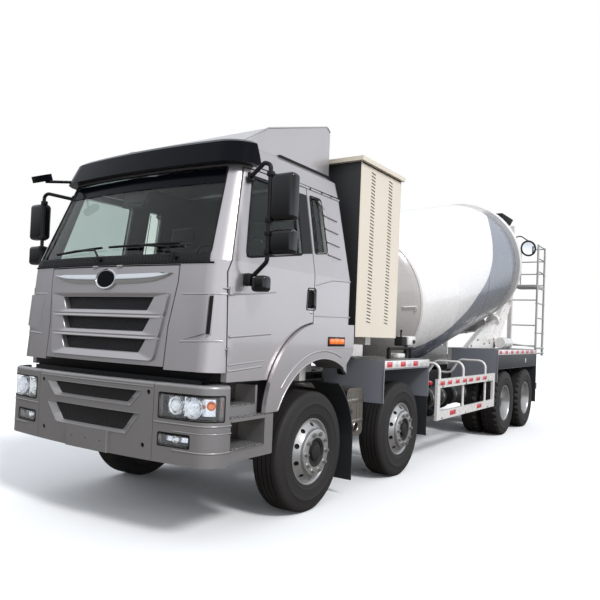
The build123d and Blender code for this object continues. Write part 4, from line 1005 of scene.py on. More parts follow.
def outline(corners, radii, grow=0.0, fill=8):
    """Rounded closed outline of 2-D corners, moved outwards by grow, with points along its sides."""
    middle_u = sum(u for u, v in corners) / len(corners)
    middle_v = sum(v for u, v in corners) / len(corners)
    corners = [Vector((u + math.copysign(grow, u - middle_u), v + math.copysign(grow, v - middle_v)))
               for u, v in corners]
    arcs = []
    before_each, after_each = corners[-1:] + corners[:-1], corners[1:] + corners[:1]
    for before, corner, after, radius in zip(before_each, corners, after_each, radii):
        a, b = (before - corner).normalized(), (after - corner).normalized()
        reach = radius / math.tan(a.angle(b) / 2)
        arcs.append([arc_place(corner + a * reach, corner, corner + b * reach, t) for t in steps(0, 1, 6)])
    ring = []
    for arc, following in zip(arcs, arcs[1:] + arcs[:1]):
        ring += arc
        ring += [arc[-1].lerp(following[0], i / (fill + 1)) for i in range(1, fill + 1)]
    return ring


def framed(corners, radii, section, lay, material):
    """Ring whose section is a list of (how far outside the corners, lift off the skin)."""
    loops = [[lay(*point, lift) for point in outline(corners, radii, grow)] for grow, lift in section]
    return hoop(loops, material)


def filled(corners, lay, lift, thickness, material, across=12, down=6):
    """Sheet over a four-cornered outline given as upper left, upper right, lower right, lower left."""
    upper_left, upper_right, lower_right, lower_left = (Vector(corner) for corner in corners)
    rows = []
    for t in steps(0, 1, down):
        left, right = upper_left.lerp(lower_left, t), upper_right.lerp(lower_right, t)
        rows.append([lay(*left.lerp(right, s), lift) for s in steps(0, 1, across)])
    return sheet(rows, thickness, material)


def bead(points, lay, radius, lift, material, bend=0.0, length=0.05):
    """Bead along a line of 2-D points on a skin."""
    if bend:
        points = [(p.x, p.y) for p in rounded([(u, v, 0) for u, v in points], bend)]
    route = []
    for start, end in zip(points, points[1:]):
        start, end = Vector(start), Vector(end)
        count = max(1, int((end - start).length / length))
        route += [lay(*start.lerp(end, i / count), lift) for i in range(count)]
    route.append(lay(*points[-1], lift))
    return tube(route, radius, material, sides=8)


def beads(rows, lay, material):
    """Beads on one skin, each row giving its points, radius, lift and perhaps bend."""
    return [bead(points, lay, radius, lift, material, *bend) for points, radius, lift, *bend in rows]


def ring_on(centre, radii, lift, lay, turns):
    """Oval of places on a skin."""
    return [lay(centre[0] + radii[0] * math.cos(t), centre[1] + radii[1] * math.sin(t), lift) for t in turns]


# ---------------------------------------------------------------- the lid
LID_SLOTS = (  # top, half width, half width of the raised border
    (1.840, .560, .700), (1.675, .540, .672), (1.510, .520, .644))
SLOT_HEIGHT = 0.105
SLOT_TAPER = 0.060
BADGE = (0, 1.985)             # its middle on the cab's face
BADGE_RING = (  # half width, half height and lift of the chrome ring's section
    (.128, .086, -.002), (.128, .086, .012), (.121, .079, .020), (.111, .069, .018), (.106, .064, .008),
    (.106, .064, -.002))


def chrome_wing(side):
    """Chrome blade beside the badge, bowed out and widening towards its end."""
    rows = []
    for t in steps(0, 1, 7):
        row = []
        for s in steps(0, 1, 24):
            upper, lower = 2.022 + .010 * s, 1.944 + .014 * s + .072 * s ** 5
            row.append(cab_front(side * (.112 + .608 * s), lower + (upper - lower) * t,
                                 .003 + .014 * math.sin(math.pi * t)))
        rows.append(row)
    return sheet(rows, .004, CHROME, 50)


def lid():
    """Raised slot borders with mesh behind them, the oval badge left bare, and its chrome wings."""
    borders, meshes = [], []
    for top, half, wide in LID_SLOTS:
        bottom = top - SLOT_HEIGHT
        inner = [(-half, top), (half, top), (half - SLOT_TAPER, bottom), (-half + SLOT_TAPER, bottom)]
        outer = [(-wide, top + .018), (wide, top + .018), (wide - .03, bottom - .042),
                 (-wide + .03, bottom - .042)]
        rings = [(outer, .0, -.004), (outer, -.004, .015), (outer, -.014, .018), (inner, .006, .004),
                 (inner, -.002, -.004), (inner, -.014, -.050), (inner, -.010, -.054), (outer, -.020, -.010)]
        radii = {id(inner): (.008, .008, .028, .028), id(outer): (.012, .012, .050, .050)}
        borders.append(hoop([[cab_front(*point, lift) for point in outline(shape, radii[id(shape)], grow)]
                             for shape, grow, lift in rings], SILVER))
        meshes.append(filled(inner, cab_front, -.046, .004, MESH))
    fit("lid_slot_borders", borders, "lid")
    fit("lid_mesh", meshes, "lid")
    turns = [i * math.tau / 64 for i in range(64)]
    oval = hoop([ring_on(BADGE, (a, b), lift, cab_front, turns) for a, b, lift in BADGE_RING], CHROME)
    fit("lid_chrome", [oval, chrome_wing(1), chrome_wing(-1)], "lid")
    disc = [ring_on(BADGE, (a, a * .62), .009, cab_front, steps(0, math.tau, 49))
            for a in steps(.004, .108, 6)]
    fit("lid_badge_disc", [sheet(disc, .006, GLOSS_BLACK)], "lid")


# ---------------------------------------------------------------- windscreen
SCREEN_CORNERS = ((-.940, 2.905), (.940, 2.905), (1.045, 2.165), (-1.045, 2.165))
COWL = ((-1.045, 2.180), (1.045, 2.180), (1.060, 2.104), (-1.060, 2.104))
SHADE_BAND = ((-.925, 2.895), (.925, 2.895), (.946, 2.775), (-.946, 2.775))
WIPERS = (  # pivot, blade's ends, their heights
    (.74, .72, -.06, 2.268, 2.262), (-.10, -.15, -.80, 2.262, 2.225))
SCREEN_SEAL = ((.0, -.016), (.0, .002), (-.008, .002), (-.012, -.015), (-.045, -.0165), (-.045, -.0185))


def wiper(pivot, start, end, high, low):
    """Spindle, bent arm, bowed spine, rubber blade and its four claws."""
    def on_blade(t, lift):
        return cab_front(start + (end - start) * t, high + (low - high) * t, lift)

    rest = (start * .45 + end * .55, high * .45 + low * .55)
    arm = [cab_front(pivot, 2.150, .030), cab_front(pivot - .10, 2.236, .034), cab_front(*rest, .022)]
    spine = [on_blade(t, .010 + .012 * math.sin(math.pi * t)) for t in steps(0, 1, 12)]
    parts = [tube([cab_front(pivot, 2.150, lift) for lift in (-.01, .034)], .017, ABS, sides=16),
             tube(arm, .0085, ABS, .03), tube(spine, .005, ABS),
             bead([(start, high - .006), (end, low - .006)], cab_front, .0065, .000, RUBBER)]
    claws = [tube([on_blade(t, lift) for lift in (.0, .022)], .004, ABS) for t in (.12, .36, .62, .86)]
    return parts + claws


def windscreen():
    """Black border and cowl, shade band, two wipers and the sill under the glass."""
    border = framed(SCREEN_CORNERS, (.03, .03, .05, .05), SCREEN_SEAL, cab_front, RUBBER)
    cowl = filled(COWL, cab_front, .004, .006, ABS, 30, 4)
    lip = bead([(-1.09, 2.106), (1.09, 2.106)], cab_front, .007, .004, RUBBER)
    grille = [bead([(y, 2.118), (y, 2.168)], cab_front, .004, .009, ABS) for y in steps(-.98, .98, 57)]
    fit("screen_border", [border, cowl, lip, *grille], "cab")
    shade = filled(SHADE_BAND, cab_front, -.0165, .002, GLOSS_BLACK, 24, 3)
    fit("screen_shade_band", [shade], "cab")
    fit("wipers", [part for sizes in WIPERS for part in wiper(*sizes)], "cab")


# ---------------------------------------------------------------- inside the cab
def cushion(x, y, z, crown, material, lean=0.0):
    """Crowned pad between limits, its sides drawn in; lean tips it back about its foot."""
    deselect()
    low, high = at(min(x), min(y), min(z)), at(max(x), max(y), max(z))
    half, centre = (high - low) / 2, (high + low) / 2
    bpy.ops.mesh.primitive_cube_add(size=2)
    pad = bpy.context.object
    edit(pad)
    bpy.ops.mesh.subdivide(number_cuts=9)
    done()
    thin = min(range(3), key=lambda i: half[i])
    wide = [i for i in range(3) if i != thin]
    for vertex in pad.data.vertices:
        co = vertex.co.copy()
        u, v = co[wide[0]], co[wide[1]]
        dome = (1 - u ** 4) * (1 - v ** 4)
        seam = 1 - .10 * math.exp(-((abs(u) - .58) / .05) ** 2)
        co[thin] *= (1 - crown + crown * dome ** .5) * seam
        pull = .035 * (1 - abs(co[thin]))
        co[wide[0]] *= 1 - pull * (1 - v ** 2) * 0.8
        co[wide[1]] *= 1 - pull * (1 - u ** 2) * 0.8
        vertex.co = centre + Vector([co[i] * half[i] for i in range(3)])
        vertex.co.x -= lean * (vertex.co.z - low.z)
    modify(pad, "BEVEL", width=.018, segments=2, limit_method="ANGLE", angle_limit=math.radians(50))
    modify(pad, "SUBSURF", levels=1, render_levels=1)
    return smooth(paint(pad, material), 60)


def padded(name, sizes, lean=()):
    """A crowned pad in seat cloth, its limits and crown in sizes, hung on the cab."""
    fit(name, [cushion(*sizes, CLOTH, *lean)], "cab")


def interior():
    """Two seats and the bunk behind them, trim on the dash and the mirror."""
    frames = [slab((-.525, -.135), (-1.08, 1.08), (1.46, 1.70), ABS, .02)]
    padded("bunk_mattress", ((-.525, -.125), (-1.09, 1.09), (1.70, 1.85), .30))
    for side, name in ((1, "left"), (-1, "right")):
        y = side * .55
        frames.append(slab((.05, .47), (y - .19, y + .19), (1.46, 1.74), ABS, .03))
        padded("seat_cushion_" + name, ((.0, .52), (y - .25, y + .25), (1.74, 1.90), .35))
        padded("seat_back_" + name, ((.0, .13), (y - .24, y + .24), (1.86, 2.46), .35), (.11,))
        padded("head_rest_" + name, ((-.055, .045), (y - .14, y + .14), (2.50, 2.66), .35), (.11,))
        for off in (-.05, .05):
            frames.append(tube([at(-.005, y + off, 2.42), at(-.022, y + off, 2.56)], .006, CHROME))
    fit("seat_frames", frames, "cab", ("cab_seats",))
    trim = [slab((.84, 1.02), (.28, .82), (2.085, 2.118), ABS, .025, 3),
            slab((.845, .90), (.36, .74), (1.95, 2.075), POLISHED_ABS, .02, 3),
            slab((.80, .90), (-.24, .16), (1.72, 2.06), ABS, .03, 3)]
    vents = [slab((.795, .803), (y - .06, y + .06), (1.99, 2.035), RUBBER, .003) for y in (-.14, .06)]
    fit("dash_trim", trim + vents, "cab")
    stalk = [cab_front(-.02, z, lift) for z, lift in ((2.86, -.045), (2.80, -.075), (2.76, -.080))]
    glass = [(-.14, 2.745), (.10, 2.745), (.085, 2.665), (-.125, 2.665)]
    section = ((-.035, -.050), (-.006, -.056), (.0, -.070), (.0, -.088), (-.02, -.092), (-.035, -.090))
    fit("inside_mirror", [tube(stalk, .008, ABS, .02), framed(glass, (.03,) * 4, section, cab_front, ABS),
                          filled(glass, cab_front, -.072, .030, ABS)], "cab")


# ---------------------------------------------------------------- doors and the cab's sides
DOOR_WINDOW = ((.880, 2.845), (.262, 2.853), (.270, 2.298), (1.065, 2.175))
QUARTER_WINDOW = ((.035, 2.856), (-.145, 2.860), (-.165, 2.365), (.040, 2.333))
GLASS_SEAL = ((.014, .002), (.010, .007), (-.004, .006), (-.012, -.010), (-.020, -.017), (-.012, -.019))


def mirrors():
    """Tubular arms with a tall and a wide mirror, their glass facing back, and a kerb mirror at the foot."""
    arm = [at(*place) for place in ((.94, 1.095, 2.825), (1.08, 1.34, 2.88), (1.08, 1.40, 2.86),
                                    (1.08, 1.40, 2.13), (1.065, 1.245, 2.01))]
    parts = [tube(arm, .017, ABS, .05, 16)]
    clamps = [((1.050, 1.102), (1.378, 1.422), (z - .022, z + .022)) for z in (2.79, 2.44, 2.34, 2.20)]
    parts += slabs(clamps, ABS, .006)
    parts.append(slab((.905, .975), (1.088, 1.118), (2.790, 2.862), ABS, .010, 3))
    parts.append(slab((1.020, 1.110), (1.200, 1.262), (1.950, 2.045), ABS, .014, 3))
    fit_door("mirror_arm", parts, "mirror_")
    shells = [slab((.985, x), y, z, POLISHED_ABS, edge, 6) for x, y, z, edge in (
        (1.093, (1.402, 1.618), (2.432, 2.790), .036), (1.085, (1.402, 1.618), (2.182, 2.368), .032))]
    shells.append(slab((1.000, 1.100), (1.262, 1.398), (1.905, 2.028), POLISHED_ABS, .030, 6))
    fit_door("mirror_shell", shells)
    faces = [((.9815, .9865), (1.425, 1.595), z) for z in ((2.460, 2.765), (2.205, 2.345))]
    fit_door("mirror_face", slabs(faces, CHROME, .002))


def fit_door(name, pieces, stands_for=""):
    """Hang the pieces on the left door and their mirror image on the right."""
    left = join(name + "_left", list(pieces))
    right = on_right(left)
    for piece, side in ((left, "left"), (right, "right")):
        replaced = (stands_for + side,) if stands_for else ()
        fit(name + "_" + side, [piece], side + "_door", replaced)


def fit_pair(name, pieces, body, stands_for=()):
    """One piece with the pieces and their mirror image on the truck's other side."""
    left = join(name, list(pieces))
    return fit(name, [left, on_right(left)], body, stands_for)


PILLAR_COVER = ((.256, 2.853), (.105, 2.855), (.105, 2.320), (.264, 2.298))
HANDLE_RECESS = ((.192, 1.998), (.066, 2.002), (.060, 1.822), (.205, 1.816))
HANDLE_PAN = ((.186, 1.990), (.072, 1.994), (.068, 1.830), (.196, 1.824))
RECESS_RIM = ((.004, -.002), (.002, .004), (-.006, .004), (-.012, -.001))
HANDLE = ((1.980, .0), (1.965, .022), (1.850, .022), (1.835, .0))      # heights and lifts of its bends
LOCK = ((-.004, 0), (-.004, .013), (.004, .013), (.006, .010), (.006, 0))
DOOR_CREASES = (([(1.238, 1.872), (.95, 1.900), (.668, 1.932)], .009, -.0055),
                ([(1.238, 1.556), (.72, 1.590)], .012, -.0070),
                ([(1.238, 1.345), (.80, 1.375)], .008, -.0045),
                ([(1.238, 1.300), (.82, 1.330)], .010, -.0060))


def doors():
    """Window seals, black pillar cover, handle in its recess and the pressed creases."""
    trim = [framed(DOOR_WINDOW, (.05,) * 4, GLASS_SEAL, cab_side, RUBBER),
            filled(PILLAR_COVER, cab_side, .003, .004, ABS, 3, 12),
            bead([(.262, 2.845), (.270, 2.302)], cab_side, .007, .004, RUBBER),
            bead([(1.050, 2.178), (.275, 2.298)], cab_side, .006, .006, RUBBER),
            framed(HANDLE_RECESS, (.035, .03, .03, .02), RECESS_RIM, cab_side, ABS),
            filled(HANDLE_PAN, cab_side, .0005, .002, RUBBER, 6, 6),
            tube([cab_side(.125, z, lift) for z, lift in HANDLE], .013, POLISHED_ABS, .012, 12),
            lathe(LOCK, cab_side(.125, 1.79), LEFT, CHROME, 24)]
    fit_door("door_trim", trim)
    fit_door("door_creases", beads(DOOR_CREASES, cab_side, SILVER))
    linings = [slab((.14, 1.08), (1.118, 1.136), (1.75, 2.10), ABS, .008),
               slab((.30, .80), (1.060, 1.118), (1.92, 1.96), ABS, .015, 3),
               slab((.22, .98), (1.085, 1.118), (1.60, 1.76), ABS, .015, 3)]
    fit_door("door_lining", linings)


LOUVRE_ROWS = (  # the places across a louvre, forward of the axle and from its line, and their lift
    (((-.175, .012), (-.2875, .001), (-.400, -.010)), -.004),
    (((-.180, -.006), (-.292, -.014), (-.404, -.024)), .013),
    (((-.185, -.014), (-.296, -.022), (-.408, -.032)), -.004))
SIDE_PRESSINGS = (([(-.110, 2.845), (-.215, 2.780), (-.245, 2.290)], .014, -.008, .03),
                  ([(.064, 2.040), (-.223, 2.108), (-.560, 2.122)], .009, -.0055, .06),
                  ([(.070, 1.762), (-.575, 1.775)], .008, -.0045),
                  ([(.36, 2.935), (-.50, 2.925)], .016, -.006))
GUTTER_SCREW = ((-.002, 0), (-.002, .010), (.012, .010), (.014, .007), (.014, 0))


def cab_sides():
    """Rear window's seal, louvre pressings, gutter with its screws, and a black slab as painted shade in the
    gap under the fairing.
    """
    seal = [framed(QUARTER_WINDOW, (.03, .05, .05, .03), GLASS_SEAL, cab_side, RUBBER),
            bead([(-.030, 2.35), (-.020, 2.84)], cab_side, .004, -.014, RUBBER)]
    fit_pair("quarter_seal", seal, "cab")
    silver = []
    for z in (2.722, 2.597, 2.472, 2.350):
        rows = [[cab_side(x, z + off, lift) for x, off in places] for places, lift in LOUVRE_ROWS]
        silver.append(sheet(rows, .003, SILVER, 20))
    fit_pair("side_pressings", silver + beads(SIDE_PRESSINGS, cab_side, SILVER), "cab")
    dark = [bead([(1.02, 2.938), (.40, 2.950), (-.52, 2.946)], cab_side, .0045, .001, RUBBER)]
    dark += [lathe(GUTTER_SCREW, cab_side(x, 2.932), (0, 1, .1), ABS, 16) for x in (.27, .03, -.17, -.34)]
    # Black slab under the fairing's edge: painted shade of the gap.
    dark.append(slab((-.575, .30), (.855, .915), (3.142, 3.200), RUBBER, .012, 3))
    dark.append(slab((.55, .72), (.60, .82), (3.158, 3.172), RUBBER, .004))
    fit_pair("side_trim", dark, "cab")
    hooks = [tube([at(x, .83, 3.150), at(x, .83, 3.235), at(x - .05, .83, 3.262), at(x - .10, .83, 3.225)],
                  .010, ZINC, .03) for x in (.62, .50)]
    fit_pair("roof_hooks", hooks, "cab")


CAB_HALF = 1.200
ARCH_SKIN = CAB_HALF + 0.042   # the arch's side face
ARCH_MIDDLE = (-.050, .600)    # of its round opening
ARCH_RADIUS = 0.775
SIDE_LAMPS = (((-.205, -.130), 1.564), ((-.292, -.212), 1.566), ((-.392, -.299), 1.564))   # ends and top


def arch_line(grow, sink, start, end, radius):
    """Bead round the wheel arch between two angles, sunk into its face."""
    x, z = ARCH_MIDDLE
    reach = ARCH_RADIUS + grow
    route = [at(x + reach * math.cos(a), ARCH_SKIN - sink, z + reach * math.sin(a))
             for a in steps(math.radians(start), math.radians(end), 30)]
    return tube(route, radius, SILVER)


def arches():
    """Bright inner lips, dark shut lines, and the amber side lamps behind the wheels."""
    fit_pair("arch_lips", [arch_line(.006, .003, 28, 118, .007), arch_line(.075, .006, 40, 112, .010)],
             "cab")
    low, high = ARCH_SKIN - .002, ARCH_SKIN + .016
    base = slab((-.418, -.112), (low, low + .006), (1.492, 1.580), ABS, .003)
    lamps = slabs([(x, (low, high), (1.512, top)) for x, top in SIDE_LAMPS], AMBER, .008, 3)
    fit_pair("side_lamps", [base, *lamps], "cab")
    fit_pair("arch_pressing", [tube([at(-.10, low, 1.470), at(-.56, low, 1.480)], .004, SILVER)],
             "cab")


# ---------------------------------------------------------------- bumper and lamps
BUMPER_FACE = 1.518            # forward of the first axle, in the middle of the skin
BUMPER_BOW = 0.090
BUMPER_HALF = 1.245
BUMPER_ROUND = 0.175
BUMPER_BEND = (BUMPER_HALF ** 2 + BUMPER_BOW ** 2) / (2 * BUMPER_BOW)
CORNER_TURN = math.asin((BUMPER_HALF - BUMPER_ROUND) / (BUMPER_BEND - BUMPER_ROUND))
CORNER_Y = BUMPER_HALF - BUMPER_ROUND
CORNER_X = BUMPER_FACE - BUMPER_BEND + (BUMPER_BEND - BUMPER_ROUND) * math.cos(CORNER_TURN)
BOW_LENGTH = BUMPER_BEND * CORNER_TURN


def bumper_skin(along, z, lift=0.0):
    """Place on the bumper by distance along its skin from the middle, lifted off it; it turns the corner."""
    side = math.copysign(1, along)
    turn = min(abs(along), BOW_LENGTH) / BUMPER_BEND
    if abs(along) <= BOW_LENGTH:
        radius = BUMPER_BEND + lift
        return at(BUMPER_FACE - BUMPER_BEND + radius * math.cos(turn), side * radius * math.sin(turn), z)
    turn += min((abs(along) - BOW_LENGTH) / BUMPER_ROUND, math.pi / 2 - CORNER_TURN)
    rest = max(0, abs(along) - BOW_LENGTH - (math.pi / 2 - CORNER_TURN) * BUMPER_ROUND)
    radius = BUMPER_ROUND + lift
    return at(CORNER_X + radius * math.cos(turn) - rest, side * (CORNER_Y + radius * math.sin(turn)), z)


GRILLES = ((1.120, 1.000, .590, .470), (.945, .780, .575, .430))   # top, bottom, half widths at each
HEADLAMP_EDGE = (.762, 1.316)  # along the skin
HEADLAMP_LEVEL = (.945, 1.122)
FOG_EDGE = (.766, 1.046)
FOG_LEVEL = (.742, .828)


def bumper_grilles():
    """Deep silver borders round the openings and the mesh in them."""
    borders, meshes = [], []
    for top, bottom, high, low in GRILLES:
        outer = [(-high, top), (high, top), (low, bottom), (-low, bottom)]
        inner = [(-high + .085, top - .006), (high - .085, top - .006), (low - .06, bottom + .022),
                 (-low + .06, bottom + .022)]
        rings = ((outer, -.0005, -.024), (outer, -.0005, -.006), (outer, .002, .003), (outer, -.006, .002),
                 (inner, .004, -.026), (inner, .0, -.032), (inner, .006, -.036))
        borders.append(hoop([[bumper_skin(*point, lift)
                              for point in outline(shape, (.010, .010, .030, .030), grow)]
                             for shape, grow, lift in rings], SATIN_SILVER))
        meshes.append(filled(inner, bumper_skin, -.033, .003, MESH))
    fit("grille_borders", borders, "chassis")
    fit("grille_mesh", meshes, "chassis")


TOW_CAP = ((-.03, 0), (-.03, .0175), (-.008, .0175), (-.005, .012), (-.012, .009), (-.012, 0))
BUMPER_CREASES = (([(-.70, 1.160), (.70, 1.160)], .008, -.0050),
                  ([(.715, .905), (1.40, .905)], .010, -.0055),
                  ([(.90, .850), (1.40, .850)], .008, -.0050),
                  ([(.90, .712), (1.40, .712)], .010, -.0055),
                  ([(-.715, .905), (-1.40, .905)], .010, -.0055),
                  ([(-.90, .712), (-1.40, .712)], .010, -.0055))


def bumper():
    """The grilles, caps, creases, and the black panel behind it all."""
    bumper_grilles()
    black = [slab((1.316, 1.330), (-1.02, 1.02), (.66, 1.223), ABS, .004)]
    black += [lathe(TOW_CAP, bumper_skin(y, z), FORWARD, ABS, 24)
              for y, z in ((.650, 1.118), (-.650, 1.118), (.612, .715), (-.612, .715))]
    black += [pin(-.06, -.024, .0058, at(1.540, y, .697), FORWARD, RUBBER, 12) for y in (-.175, 0, .175)]
    fit("bumper_black_parts", black, "chassis")
    fit("bumper_creases", beads(BUMPER_CREASES, bumper_skin, SATIN_SILVER), "chassis")
    seal = slab((1.245, 1.275), (-1.06, 1.06), (1.214, 1.45), ABS, .004)
    fit("cab_front_seal", [seal], "cab")


def lamp_case(edge, level, depth):
    """Black frame round a lamp, its bright case behind, and the clear lens in front."""
    def inset(gap):
        left, right, low, high = edge[0] + gap, edge[1] - gap, level[0] + gap, level[1] - gap
        return [(left, high), (right, high), (right, low), (left, low)]

    radii = (.016,) * 4
    rim = ((-.002, -.012), (-.002, .0), (.0, .003), (-.009, .003), (-.011, -.012))
    bowl = ((-.010, -.012), (-.011, -.018), (-.030, -depth), (-.030, -depth - .004), (-.006, -.018))
    frame = framed(inset(0), radii, rim, bumper_skin, ABS)
    case = framed(inset(0), radii, bowl, bumper_skin, REFLECTOR)
    back = filled(inset(.026), bumper_skin, -depth - .001, .004, REFLECTOR, 20, 6)
    lens = filled(inset(.008), bumper_skin, -.006, .003, LENS, 28, 6)
    return frame, [case, back], lens


def facing(along):
    """Direction out of the bumper's skin."""
    return (bumper_skin(along, 0, .1) - bumper_skin(along, 0, 0)).normalized()


PROJECTOR_RING = ((.0, .0), (.0, .078), (.022, .078), (.030, .070), (.022, .060), (.014, .050), (.014, 0))
PROJECTOR_LENS = ((.012, 0), (.012, .050), (.026, .050), (.038, .043), (.048, .028), (.053, .012), (.054, 0))
BOWL = ((.0, .0), (.0, .074), (.050, .082), (.053, .078), (.032, .058), (.018, .036), (.012, .0))
BULB = ((.010, 0), (.010, .012), (.034, .012), (.042, .006), (.043, 0))
AMBER_BULB = ((.0, .0), (.0, .034), (.018, .032), (.034, .020), (.040, .0))
FOG_BULB = ((.0, 0), (.0, .024), (.020, .030), (.022, .026), (.008, .012), (.006, 0))


def lamps():
    """Headlamps with a projector, a faceted bowl and an amber bulb, and rectangular fog lamps."""
    frame, inside, lens = lamp_case(HEADLAMP_EDGE, HEADLAMP_LEVEL, .075)
    projector, bowl = bumper_skin(.885, 1.034, -.075), bumper_skin(1.055, 1.030, -.076)
    inside += [lathe(PROJECTOR_RING, projector, facing(.885), CHROME, 48),
               lathe(PROJECTOR_LENS, projector, facing(.885), LENS, 48),
               lathe(BOWL, bowl, facing(1.055), REFLECTOR, 24, 10),
               lathe(BULB, bowl, facing(1.055), CHROME, 24),
               tube([bumper_skin(.968, z, -.055) for z in (.962, 1.105)], .010, CHROME),
               lathe(AMBER_BULB, bumper_skin(1.222, 1.048, -.070), facing(1.20), AMBER, 32)]
    fog_frame, fog_case, fog_lens = lamp_case(FOG_EDGE, FOG_LEVEL, .055)
    bulb = lathe(FOG_BULB, bumper_skin(.90, .785, -.054), facing(.90), CHROME, 32)
    fit_pair("lamp_frames", [frame, fog_frame], "chassis")
    fit_pair("lamp_insides", [*inside, *fog_case, bulb], "chassis", ("front_lamps",))
    fit_pair("lamp_lenses", [lens, fog_lens], "chassis")


# ---------------------------------------------------------------- corner panels, visor, steps
CORNER_BEADS = (([(.84, 1.866), (1.215, 1.872)], .009, -.005),
                ([(.86, 1.508), (1.215, 1.524)], .010, -.006),
                ([(1.120, 1.858), (1.120, 1.572), (1.085, 1.550)], .007, -.001, .02))


def corners():
    """Air deflector on each corner panel: a raised leaf with a black sheet behind it as painted shade in its
    slot.
    """
    leaf = []
    for t in steps(0, 1, 9):
        z_in, z_out = 1.853 - .328 * t, 1.855 - .278 * t
        leaf.append([cab_corner(s, z_in + (z_out - z_in) * u, .002 + .018 * u ** 2)
                     for u, s in zip(steps(0, 1, 12), steps(.865 + .03 * t, 1.088, 12))])
    # Black sheet behind the leaf: painted shade in the deflector's slot.
    slot = [[cab_corner(s, z, .003) for s in steps(1.090, 1.114, 4)] for z in (1.857, 1.80, 1.62, 1.570)]
    raised = [sheet(leaf, .003, SILVER), *beads(CORNER_BEADS, cab_corner, SILVER)]
    fit_pair("deflectors", raised, "cab")
    fit_pair("deflector_slot_shade", [sheet(slot, .004, RUBBER)], "cab")


def cab_corner(along, z, lift=0.0):
    """Place on the cab's face by distance along its skin from the middle; it turns the corner."""
    face, half = cab_level(z)
    bend = (half ** 2 + CAB_BOW ** 2) / (2 * CAB_BOW)
    turn_at = math.asin((half - CAB_CORNER) / (bend - CAB_CORNER))
    side, reach = math.copysign(1, along), bend * turn_at
    if abs(along) <= reach:
        turn = abs(along) / bend
        return at(face - bend + (bend + lift) * math.cos(turn), side * (bend + lift) * math.sin(turn), z)
    turn = min(math.pi / 2, turn_at + (abs(along) - reach) / CAB_CORNER)
    rest = max(0, abs(along) - reach - (math.pi / 2 - turn_at) * CAB_CORNER)
    x = face - bend + (bend - CAB_CORNER) * math.cos(turn_at) + (CAB_CORNER + lift) * math.cos(turn) - rest
    return at(x, side * (half - CAB_CORNER + (CAB_CORNER + lift) * math.sin(turn)), z)


STEP_TREADS = (((.805, 1.215), (.965, 1.228), (.716, .724)),
               ((.860, 1.215), (.965, 1.165), (1.031, 1.039)),
               ((.695, 1.236), (1.168, 1.236), (.951, .957)))
STEP_BACKS = (((.805, 1.215), (.962, .966), (.726, .922)),
              ((.860, 1.215), (.962, .966), (1.041, 1.176)))


def cab_steps():
    """Perforated treads in the step boxes, their bright backs and edges."""
    fit_pair("step_treads", slabs(STEP_TREADS, TREAD, .002), "chassis")
    fit_pair("step_backs", slabs(STEP_BACKS, STAINLESS, .001), "chassis")
    edges = [tube([at(.805, 1.236, z), at(1.215, 1.236, z)], .005, STAINLESS) for z in (.712, .928)]
    fit_pair("step_edges", edges, "chassis")


# ---------------------------------------------------------------- body behind the cab
CABINET_SIDE = 1.150
CABINET_X = (-1.755, -.790)
LOUVRE_COLUMNS = (-1.065, -1.482)
LOUVRE_LEVELS = (1.745, 3.315)
LOUVRES = 45
DECK_EDGE = 1.250
GUARD_FACE = 1.235
PEDESTAL_FACE = 0.660
TANK_CENTRE = at(-2.140, 0, 2.730)
TANK_RADIUS = 0.270
UNDERRUN_REAR = -8.650


def bolt(place, axis, size, material):
    """Hexagon bolt head on its washer, facing along an axis."""
    profile = [(-.002, 0), (-.002, size * 1.25), (.003, size * 1.25), (.003, size), (size * .8, size),
               (size, size * .8), (size, 0)]
    return lathe(profile, place, axis, material, 12, 30)


def column(x, low, high, push, material):
    """One column of slanted bars up the cabinet's side, from one bar repeated upwards."""
    z = LOUVRE_LEVELS[0]
    rise = (LOUVRE_LEVELS[1] - z) / (LOUVRES - 1)
    corners = [at(x - .044, CABINET_SIDE, z + low - .006), at(x + .044, CABINET_SIDE, z + low + .006),
               at(x + .044, CABINET_SIDE, z + high + .006), at(x - .044, CABINET_SIDE, z + high - .006)]
    bar = plate(corners, (0, push, 0), material)
    modify(bar, "ARRAY", count=LOUVRES, use_relative_offset=False, use_constant_offset=True,
           constant_offset_displace=(0, 0, rise))
    return bar


def cabinet():
    """Two columns of slanted louvres on each side with black bars as painted shade in their slits, folded
    edges, a black front and the door at the back.
    """
    back, front = CABINET_X
    # Black bars under the louvre hoods: painted shade in the slits.
    fit_pair("cabinet_slit_shade", [column(x, -.004, .005, .0012, ABS) for x in LOUVRE_COLUMNS],
             "chassis")
    skin = [column(x, .005, .0085, .005, BEIGE) for x in LOUVRE_COLUMNS]
    skin += [tube([at(x, CABINET_SIDE - .001, z) for z in (1.60, 3.38)], .0035, BEIGE)
             for x in (back + .012, front - .012)]
    fit_pair("cabinet_hoods", skin, "chassis")
    panel = [slab((front - .002, front + .002), (-1.146, 1.146), (1.590, 3.386), BLACK, .001)]
    ribs = [((front, front + .012), (y - .022, y + .022), (1.65, 3.34)) for y in (-.75, -.25, .25, .75)]
    panel += slabs(ribs, BLACK, .004)
    fit("cabinet_front", panel, "chassis")
    fit_pair("cabinet_shadow", [slab((back + .004, front - .004), (1.149, 1.1512), (3.372, 3.388), ABS)],
             "chassis")
    door = [slab((back - .008, back), (-.52, .52), (1.75, 3.25), BEIGE, .003)]
    door += slabs([((back - .014, back - .006), (-.40, .40), (z, z + .020)) for z in steps(2.0, 3.0, 14)],
                  BEIGE, .004)
    door.append(slab((back - .030, back - .008), (.44, .49), (2.40, 2.56), CHROME, .006, 3))
    fit("cabinet_door", door, "chassis")


REFLECTOR_PITCH = 0.352        # between two red reflectors along a deck


